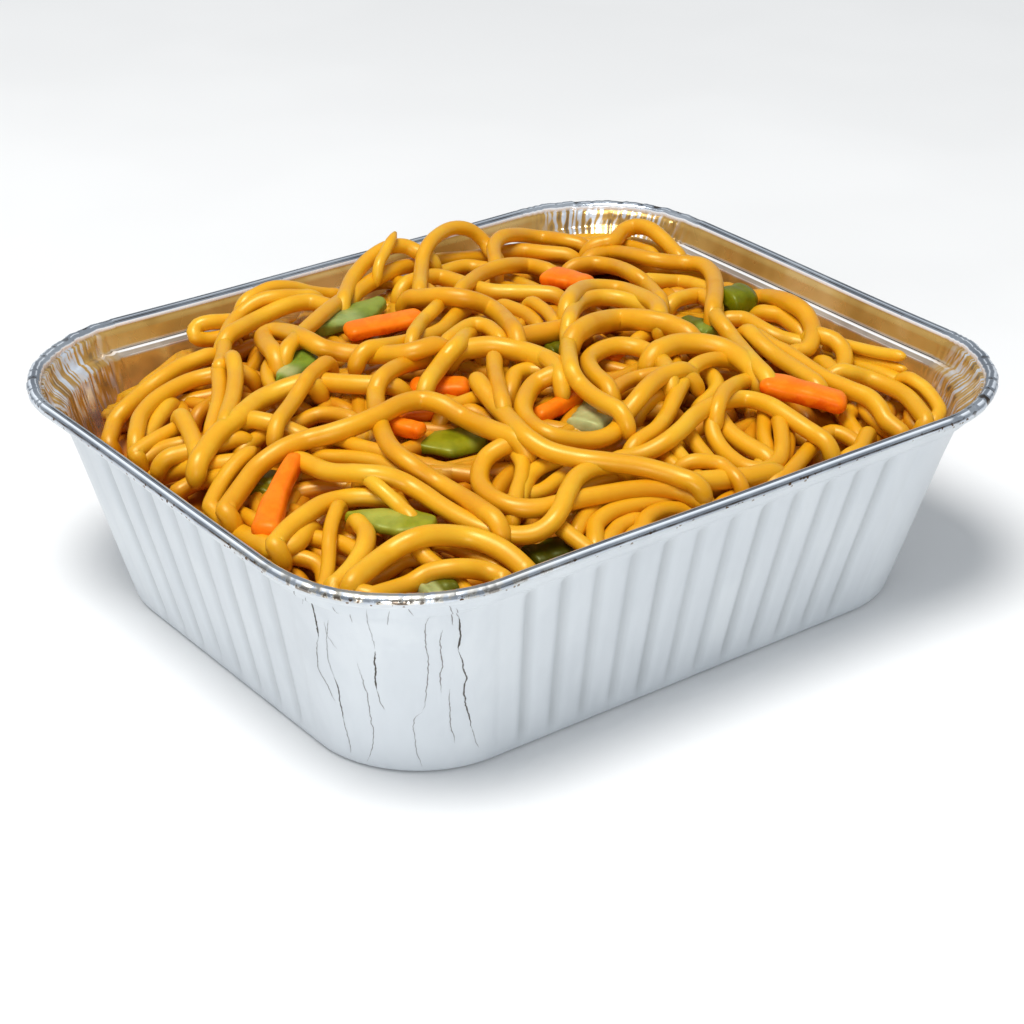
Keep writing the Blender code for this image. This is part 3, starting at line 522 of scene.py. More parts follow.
def profile_rows():
    rows = [(inset, z, 0, 0, COAT, 0.5) for inset, z in FLOOR_ROWS]
    low, high = 0.9, LEDGE_Z - 0.8
    for i in range(OUTER_RISE):
        z = low + (high - low) * i / (OUTER_RISE - 1)
        flute = min(1.0, (z - low) / 3.5) * min(1.0, (high - z) / 1.6) ** 0.5
        rows.append((wall_at(z / LEDGE_Z), z, flute, 0, COAT, 0.5))
    rows += [(inset, z, 0, pleat, COAT, line) for inset, z, pleat, line in STEP_ROWS]
    for deg in range(BEAD_DEGREES[0], BEAD_DEGREES[-1] + 1, BEAD_STEP):
        ang = math.radians(deg)
        inset = BEAD_RADIUS - BEAD_RADIUS * math.cos(ang)
        z = TRAY_HEIGHT - BEAD_RADIUS + BEAD_RADIUS * math.sin(ang)
        finish = COAT if deg < COAT_TO else (BEAD if deg < BEAD_TO else BRIGHT)
        rows.append((inset, z, 0, "crimp", finish, float(np.interp(deg, BEAD_DEGREES, BEAD_REFLECTION_LINES))))
    rows += [(inset, z, flute, pleat, BRIGHT, line) for inset, z, flute, pleat, line in SHELF_ROWS]
    for i in range(1, INNER_RISE + 1):
        z = INNER_TOP - INNER_STEP * i
        rows.append((wall_at(z / LEDGE_Z) + GAUGE, z, 0.9, max(0.0, 1 - i * 0.12), BRIGHT, 0.5))
    return rows + [(inset, z, flute, 0, BRIGHT, 0.5) for inset, z, flute in INNER_FLOOR_ROWS]


OUT_FROM, OUT_TO, OUT_RUN = 28, 38.6, 10.5          # heights of the straightened outside
IN_INSETS, IN_TOP, IN_FROM, IN_FALL = (3.0, 6.15), 38.6, 34, 1.3


def smooth_out(inset, z, finish):
    """Outside corners: a softer step between the wall and the bead."""
    if finish != COAT or z < OUT_FROM or z > OUT_TO:
        return inset
    t = np.clip((z - OUT_FROM) / OUT_RUN, 0, 1)
    plain = wall_at(z / LEDGE_Z) * (1 - t) + (BAND_TOP_INSET + 0.35) * t
    return inset + (plain - inset) * STRAIGHTEN


def smooth_in(inset, z, finish):
    """Inside corners: the shelf fades into one slope from the band to the wall."""
    if finish != BRIGHT or inset < IN_INSETS[0] or inset > IN_INSETS[1] or z < IN_FROM:
        return 0.0
    return (IN_TOP - (inset - IN_INSETS[0]) * IN_FALL - z) * INNER_BLEND * CORNER_EASE


PROFILE = profile_rows()
print("rows in the profile:", len(PROFILE))

# %% [markdown]
# ## Building the shell
#
# Stack the rings, join neighbours with quads and close the floor, inside and
# out.  The finish of each row picks the material slot of the quads above it.
# Each point also stores two colours.  `tint` holds how much of a corner it
# belongs to, how near the split corner it is and its height; `roll` holds how
# deep in a groove it lies (which paints shade into the grooves), a streak of
# painted highlight and shade that runs with the pleats, and its line of painted
# shade or highlight.

# %% Tray mesh
PLEAT_DEPTH, PLEAT_LIFT = 0.42, 0.3
CRIMP_DEPTH, CRIMP_LIFT = 0.12, 0.09
# the bead's painted reflection lines fade towards this value at a corner
CRIMP_LINE = 0.80                              # value the bead's lines fade to at a corner
SPLIT_X, SPLIT_Y, SPLIT_REACH = -62, -50, 34   # the split corner seen from above
LIFT_FROM, LIFT_RUN, SHELF_TOP = 30, 8, 36.6


def build_tray(materials):
    points, tint, roll = [], [], []
    full = np.ones(len(SIDE))
    for inset, z, flute, pleat, finish, line in PROFILE:
        xy, out = ring_at(smooth_out(inset, z, finish))
        crimp = pleat == "crimp"
        push = -FLUTE_DEPTH * flute * groove()
        lift = WAVE * np.clip((z - LIFT_FROM) / LIFT_RUN, 0, 1)
        if crimp:
            push = push + CRIMP_DEPTH * CRIMP
            lift = lift + CRIMP_LIFT * CRIMP
            plain = line + (CRIMP_LINE - line) * 0.7 * CORNER_BLEND
            # painted shade: dark dashes where the crimped bead dips in at a corner
            crimp_shade = np.clip(-CRIMP - 0.4, 0, 0.5) * np.where(CORNER == SPLIT_CORNER, 0.5, 1.6)
            painted_line = np.clip(plain - CORNER_BLEND * crimp_shade * (inset < 1.6), 0, 1)
        else:
            push = push + PLEAT_DEPTH * pleat * pleats(z) * (1.0 if finish == BRIGHT else 0.5)
            # the painted shade and highlight lines fade out at the corners
            painted_line = line + (0.5 - line) * 0.85 * CORNER_BLEND
            if finish == BRIGHT and z > LEDGE_Z - 0.5:
                lift = lift + PLEAT_LIFT * pleat * pleats(z) * (0.5 if z < SHELF_TOP else 1.0)
        xy = xy + out * push[:, None]
        points.append(np.column_stack((xy, z + lift + smooth_in(inset, z, finish))))
        near = np.clip(1 - np.hypot(xy[:, 0] - SPLIT_X, xy[:, 1] - SPLIT_Y) / SPLIT_REACH, 0, 1)
        tint.append(np.column_stack((CORNER_BLEND, near, full * z / TRAY_HEIGHT, full)))
        roll.append(np.column_stack((flute * groove(), pleat_light_streak(z), painted_line, full)))
    count, rows = len(SIDE), len(PROFILE)
    faces = ring_faces(rows, count) + ring_caps(rows, count)
    slots = [row[4] for row in PROFILE[1:] for _ in range(count)] + [COAT, BRIGHT]
    obj = make_piece("tray_shell", np.vstack(points), faces, materials, slots, node="tray")
    paint_points(obj, "tint", np.vstack(tint))
    paint_points(obj, "roll", np.vstack(roll))
    return obj


print("tray mesh ready to build")

# %% [markdown]
# ## Three foil finishes
#
# Outside, the foil carries a pale satin coating: nearly white, a little blue,
# with broad soft reflections; its grooves, the step under the band and the bead's
# outer face carry painted shade.  The bead is bare rolled metal, darker, with
# brown flecks where the coating is rubbed off; its dark and bright lines are
# painted reflections.  Inside the foil is bright, but the golden reflection of
# the noodles on the band and the wall is painted in as a golden film; it is not
# metal, so it lowers the metallic value.  At the corners the pleats carry
# painted highlights, and painted shade in their folds.  Metal needs roughness
# variation more than colour: mottling breaks the mirror.

# %% Foil materials
def coated_foil():
    mat, tree, shader = new_material("coated_foil", Coat_Weight=0.25, Coat_Roughness=0.3)
    scuffs = mottle(tree, 140.0, high=0.5, stretch=(1.0, 1.0, 0.25))
    tone = maths(tree, "ADD", times(tree, mottle(tree, 28.0), 0.5), scuffs)
    colour = tones(tree, tone, (0.60, 0.64, 0.675), (0.64, 0.68, 0.715), (0.68, 0.72, 0.75))
    roll, height = channels(tree, "roll"), channels(tree, "tint")[2]
    # painted shade and highlight lines from the line value, mainly the shade under the band's step
    lined = lines(tree, roll[2], 1.0, colour, (0.36, 0.38, 0.39), (0.8, 0.8, 0.8))[0]
    # painted shade in the grooves between the flutes, darker with groove depth
    groove_shaded = blend_colours(tree, times(tree, roll[0], 0.6), lined, (0.42, 0.445, 0.46, 1))
    # painted shadow: a mottled dark brown band on the outer face of the bead
    shadow_on_bead = times(tree, span(tree, height, 0.964, 0.984), mottle(tree, 240.0, high=0.75))
    flecks = times(tree, specks(tree, 1350.0, 0.16, 0.38), span(tree, height, 0.956, 0.968))
    # brown flecks of the coating and the painted shadow band, together
    flecks_and_shadow = maths(tree, "MAXIMUM", shadow_on_bead, flecks)
    flecked_and_shadowed = blend_colours(tree, flecks_and_shadow, groove_shaded, (0.20, 0.145, 0.10, 1))
    dress(tree, shader, flecked_and_shadowed, mottle(tree, 60.0, 0.36, 0.50), (260.0, 0.2, 0.00004))
    return mat


def rolled_bead():
    mat, tree, shader = new_material("rolled_bead")
    base = tones(tree, mottle(tree, 70.0), (0.44, 0.48, 0.54), (0.56, 0.61, 0.68), (0.72, 0.77, 0.83))
    near, height = channels(tree, "tint")[1:3]
    line, broken = channels(tree, "roll")[2], mottle(tree, 300.0, 0.45, 1.0)
    # painted reflections: the dark and bright lines round the bead, less metallic where bright
    lined = lines(tree, line, broken, base, (0.075, 0.05, 0.03), (0.86, 0.92, 1.0))
    chips = mottle(tree, 620.0)
    rubbed = times(tree, span(tree, chips, 0.2, 0.6), near, 0.6)
    gold = blend_colours(tree, rubbed, lined[0], (0.86, 0.74, 0.52, 1))
    marks = times(tree, specks(tree, 1300.0, 0.14, 0.42), span(tree, height, 0.992, 0.978))
    chipped = times(tree, span(tree, chips, 0.62, 0.8), near, span(tree, height, 0.997, 0.98))
    worn = maths(tree, "MINIMUM", maths(tree, "ADD", marks, chipped), 1.0)
    flecked = blend_colours(tree, worn, gold, (0.085, 0.045, 0.02, 1))
    feed(tree, shader.inputs["Metallic"], lined["Metal"])
    dress(tree, shader, flecked, mottle(tree, 150.0, 0.16, 0.28), (500.0, 0.3, 0.00008))
    return mat


def bright_foil():
    mat, tree, shader = new_material("bright_foil")
    silver = tones(tree, mottle(tree, 90.0), (0.56, 0.57, 0.60), (0.71, 0.72, 0.75), (0.83, 0.84, 0.87))
    # painted reflection of the noodles: a golden tone that is not metal
    noodle_reflection = tones(tree, mottle(tree, 45.0), (0.42, 0.235, 0.05), (0.56, 0.34, 0.09), (0.69, 0.46, 0.17))
    corner, _, height = channels(tree, "tint")
    pleat_light, line = channels(tree, "roll")[1:3]
    pleated, below = span(tree, corner, 0.35, 0.95), span(tree, height, 0.980, 0.970)
    reach = times(tree, span(tree, height, 0.64, 0.84), below)
    off_shelf = maths(tree, "ADD", span(tree, height, 0.884, 0.893), span(tree, height, 0.868, 0.856))
    shelf = times(tree, maths(tree, "SUBTRACT", 1.0, off_shelf), span(tree, corner, 0.2, 0.7, 1.0, 0.0))
    ridged = times(tree, pleated, span(tree, pleat_light, 0.42, 0.72), mottle(tree, 260.0, 0.45, 1.0))
    # the painted reflection is weaker on the shelf and on the pleat ridges
    less_on_shelf, less_on_ridges = span(tree, shelf, 0.0, 1.0, 1.0, 0.5), span(tree, ridged, 0.0, 0.9, 1.0, 0.12)
    reflection_mask = times(tree, below, less_on_shelf, less_on_ridges)
    reflected = blend_colours(tree, reflection_mask, silver, noodle_reflection)
    # painted shade in the gaps between the corner pleats
    pleat_shade = times(tree, pleated, span(tree, pleat_light, 0.34, 0.12), reach, 0.75)
    pleat_shaded = blend_colours(tree, pleat_shade, reflected, (0.13, 0.10, 0.08, 1))
    # painted highlight: pale blue-white streaks on the pleat ridges
    pleat_highlight = times(tree, ridged, reach)
    pale = blend_colours(tree, pleat_highlight, pleat_shaded, (0.74, 0.82, 0.93, 1))
    # painted highlight and shade lines along the shelf
    lined = lines(tree, line, 1.0, pale, (0.04, 0.03, 0.025), (0.90, 0.93, 0.97))
    # the painted reflection and the painted highlights are made less metallic
    metal = maths(tree, "SUBTRACT", lined["Metal"], times(tree, reflection_mask, 0.55))
    metal = maths(tree, "SUBTRACT", metal, times(tree, pleat_highlight, 0.5))
    feed(tree, shader.inputs["Metallic"], maths(tree, "MAXIMUM", metal, 0.15))
    dress(tree, shader, lined[0], mottle(tree, 120.0, 0.14, 0.34), (300.0, 0.35, 0.00015))
    return mat


tray = build_tray([coated_foil(), rolled_bead(), bright_foil()])
print("tray shell:", len(tray.data.vertices), "points,", len(tray.data.polygons), "faces")

# %% [markdown]
# ## Cracks in the coating
#
# The pale coating has split at one corner, where the foil was bent hardest.
# Each crack is a thin ribbon laid on the wall: a row gives how dark it is, how
# wide, and its points as (distance round the corner from its middle, height).

# %% Crack table
CRACKS = (
    (1.0, 0.34, ((-11.0, 36.8), (-11.1, 34.5), (-11.5, 30.0), (-11.6, 27.0))),
    (0.6, 0.18, ((-11.6, 27.0), (-12.5, 24.0), (-13.0, 20.0), (-12.4, 18.3), (-11.4, 16.5), (-10.5, 14.5),
                 (-10.0, 13.5))),
    (0.9, 0.24, ((-9.6, 19.2), (-9.0, 17.5), (-9.0, 13.5), (-8.9, 10.0))),
    (0.5, 0.18, ((-8.9, 10.0), (-8.6, 6.0), (-8.3, 2.5))),
    (0.4, 0.14, ((-9.5, 31.5), (-10.0, 27.0), (-10.4, 22.5), (-9.6, 19.2))),
    (0.4, 0.12, ((-8.4, 32.5), (-9.5, 28.0), (-8.8, 26.6), (-8.2, 25.8))),
    (0.5, 0.15, ((-5.0, 23.8), (-4.6, 21.5), (-4.4, 18.5), (-4.1, 15.0), (-4.0, 11.5), (-3.9, 8.5),
                 (-4.4, 4.5), (-5.4, 1.5))),
    (1.0, 0.27, ((-1.8, 27.0), (-2.0, 25.0), (-2.3, 21.5), (-2.3, 18.5))),
    (0.5, 0.15, ((-2.3, 18.5), (-2.0, 16.0), (-1.4, 14.3))),
    (0.5, 0.16, ((6.8, 36.0), (6.0, 34.0), (6.0, 30.5), (6.2, 28.0), (6.2, 25.5), (5.7, 20.5), (5.1, 17.5),
                 (4.5, 14.5))),
    (0.6, 0.18, ((8.5, 32.0), (8.0, 28.5), (8.1, 25.0), (7.7, 21.5), (7.6, 18.0))),
    (0.6, 0.16, ((9.5, 38.0), (10.0, 35.5), (10.2, 32.5))),
    (0.4, 0.14, ((10.4, 37.0), (11.2, 33.8))),
    (1.0, 0.30, ((11.2, 34.0), (11.2, 30.0), (10.8, 26.5))),
    (0.9, 0.24, ((10.8, 26.5), (11.3, 24.0), (11.7, 22.0), (12.1, 20.5), (11.9, 19.6), (11.5, 18.6),
                 (11.4, 17.0), (11.6, 13.0), (12.0, 9.0))),
    (0.35, 0.14, ((12.0, 9.0), (12.4, 6.5), (13.0, 4.0))),
    (0.5, 0.16, ((9.0, 18.6), (8.5, 16.0), (8.4, 12.5), (8.6, 9.5), (9.0, 6.5))),
    (0.4, 0.14, ((4.5, 14.2), (3.5, 13.0), (3.0, 11.0), (3.0, 8.5), (3.0, 5.5), (3.5, 1.5))),
    (0.45, 0.14, ((-13.0, 38.0), (-13.2, 36.0), (-14.0, 33.0))),
    (0.45, 0.13, ((-6.5, 36.8), (-6.0, 35.0))),
    (0.4, 0.12, ((-4.0, 36.0), (-4.0, 34.0))),
    (0.35, 0.12, ((-1.5, 37.6), (-1.4, 35.0), (-1.5, 31.5), (-1.8, 27.5))),
    (0.4, 0.12, ((1.5, 37.5), (1.1, 34.5))),
    (0.4, 0.12, ((4.0, 38.0), (4.6, 36.4))),
)
print("cracks in the table:", len(CRACKS))

# %% [markdown]
# ## Laying the cracks
#
# A ray cast from outside drops every point onto the shell, so the ribbon
# follows the pressed form exactly, a few hundredths of a millimetre proud.  A
# random walk makes it jagged, and it thins out towards both ends.

# %% Cracks
CRACK_PROUD, CRACK_JAG, CRACK_STEP, OUTSIDE = 0.03, 0.10, 0.35, 6


def near_wall(round_corner, z):
    """A point near the outside of the split corner, and the way out from it."""
    inset = wall_at(min(z / LEDGE_Z, 1.1))
    r = corner_radius(inset)
    ang = math.radians(225) + round_corner / r
    way = Vector((math.cos(ang), math.sin(ang), 0))
    middle = Vector((-(TRAY_LENGTH / 2 - inset) + r, -(TRAY_WIDTH / 2 - inset) + r, z))
    return middle + way * r, way


def build_cracks(material):
    pick = np.random.default_rng(8)
    points, faces, tints = [], [], []
    for darkness, width, route in CRACKS:
        route = np.array(route)
        run = np.concatenate(([0], np.cumsum(np.hypot(*np.diff(route, axis=0).T))))
        at = np.linspace(0, run[-1], max(int(run[-1] / CRACK_STEP), 4))
        along = [np.interp(at, run, route[:, k]) for k in (0, 1)]
        jag = np.cumsum(pick.normal(0, 1, len(at)))
        jag = CRACK_JAG * (jag - np.linspace(jag[0], jag[-1], len(at))) * 0.6
        for k, (place, z) in enumerate(zip(along[0] + jag, along[1])):
            t = k / (len(at) - 1)
            half = width / 2 * (0.15 + 0.85 * min(1, 6 * t, 6 * (1 - t))) * pick.uniform(0.6, 1.3)
            for offset in (-half, half):
                start, way = near_wall(place + offset, float(z))
                _, spot, normal, _ = tray.ray_cast((start + way * OUTSIDE) * MM, -way)
                points.append(tuple(spot / MM + normal * CRACK_PROUD))
                tints.append((darkness * pick.uniform(0.8, 1.0), 0, 0, 1))
            if k:
                n = len(points)
                faces.append((n - 4, n - 3, n - 1, n - 2))
    obj = make_piece("coating_cracks", points, faces, [material])
    paint_points(obj, "tint", tints)
    return obj


def crack_material():
    mat, tree, shader = new_material("split_coating")
    darkness = channels(tree, "tint")[0]
    colour = tones(tree, darkness, (0.60, 0.62, 0.66), (0.26, 0.25, 0.25), (0.045, 0.035, 0.025))
    dress(tree, shader, colour, 0.7)
    return mat


cracks = build_cracks(crack_material())
print("crack ribbons:", len(cracks.data.polygons), "faces")

# %% [markdown]
# ## The shape of the heap
#
# `sheet` is a smooth dome over the tray on which the routes of the noodles are
# drawn.  `crown` is the general level of the heap: the same dome, fuller on the
# right and lower at the back left corner.  A route point is slid along the line
# of sight until it meets the height where its strand rests, so the view from the
# eye stays the same while the pile gets its real depth.

# %% Heap surfaces
BACK_SHEET_Y, RIGHT_SHEET_X = 50.0, 58.0
GAP, GRID = 0.35, 0.5   # room round a strand; spacing of the height map
DOME_X, DOME_Y, DOME_FOOT, DOME_RISE = 69.0, 58.0, 34, 9.5


def sheet(x, y):
    rx = np.minimum(np.abs(x) / DOME_X, 1.1)
    ry = np.minimum(np.abs(y) / DOME_Y, 1.1)
    z = DOME_FOOT + DOME_RISE * (1 - rx ** 2.4) * (1 - ry ** 2.4) + 0.03 * y
    return z - 9 * np.exp(-(((x + 62) / 14) ** 2 + ((y - 54) / 14) ** 2))


def crown(x, y):
    """General level of the heap; takes numbers or arrays."""
    return (sheet(x, y) + 1.8 * np.exp(-(((x - 60) / 12) ** 2 + ((y - 5) / 26) ** 2))
            - 0.6 * np.exp(-(((x - 15) / 30) ** 2 + ((y - 52) / 6) ** 2)))


def top(*route):
    return [(x, y, float(sheet(x, y))) for x, y in route]


def back(*route):
    return [(x, BACK_SHEET_Y, z) for x, z in route]


def right(*route):
    return [(RIGHT_SHEET_X, y, z) for y, z in route]


def wall_inset(z):
    """Inside face of the tray at height z, measured in from the rim outline."""
    if z >= LEDGE_Z + 0.6:
        t = min((z - LEDGE_Z) / (TRAY_HEIGHT - BEAD_RADIUS - LEDGE_Z), 1.0)
        return BAND_FOOT_INSET + (BAND_TOP_INSET - BAND_FOOT_INSET) * t + GAUGE
    return wall_at(min(max(z, 0.0) / LEDGE_Z, 1.0)) + 0.5 + FLUTE_ROOM


def slide(point, z):
    ex, ey, ez = EYE
    t = (z - ez) / (point[2] - ez)
    return np.array((ex + (point[0] - ex) * t, ey + (point[1] - ey) * t, z))


def keep_inside(p, margin):
    """Hold a point inside the tray wall with this much room round it."""
    inset = float(wall_inset(p[2] - margin)) + margin
    a, b = TRAY_LENGTH / 2 - inset, TRAY_WIDTH / 2 - inset
    r = max(corner_radius(min(inset, FLOOR_INSET)) - margin, 4.0)
    qx, qy = abs(p[0]), abs(p[1])
    if qx > a - r and qy > b - r:
        dx, dy = qx - (a - r), qy - (b - r)
        d = math.hypot(dx, dy)
        if d > r:
            qx, qy = a - r + dx * r / d, b - r + dy * r / d
    qx, qy = min(qx, a), min(qy, b)
    return np.array((math.copysign(qx, p[0]), math.copysign(qy, p[1]), p[2]))


print("crown height in the middle:", round(float(crown(0, 0)), 1), "mm")

# %% [markdown]
# ## The noodles, strand by strand
#
# Each row is one strand: its level in the pile (8 lies on top), its radius, and
# the points it runs through.  `top` points lie on the dome; `back` and `right`
# points stand on upright sheets near those walls, for strands that arch there.
# Loops and long curls come first in the eye, so they are on the upper levels;
# short rows are the stretches of deeper strands that show in the gaps.

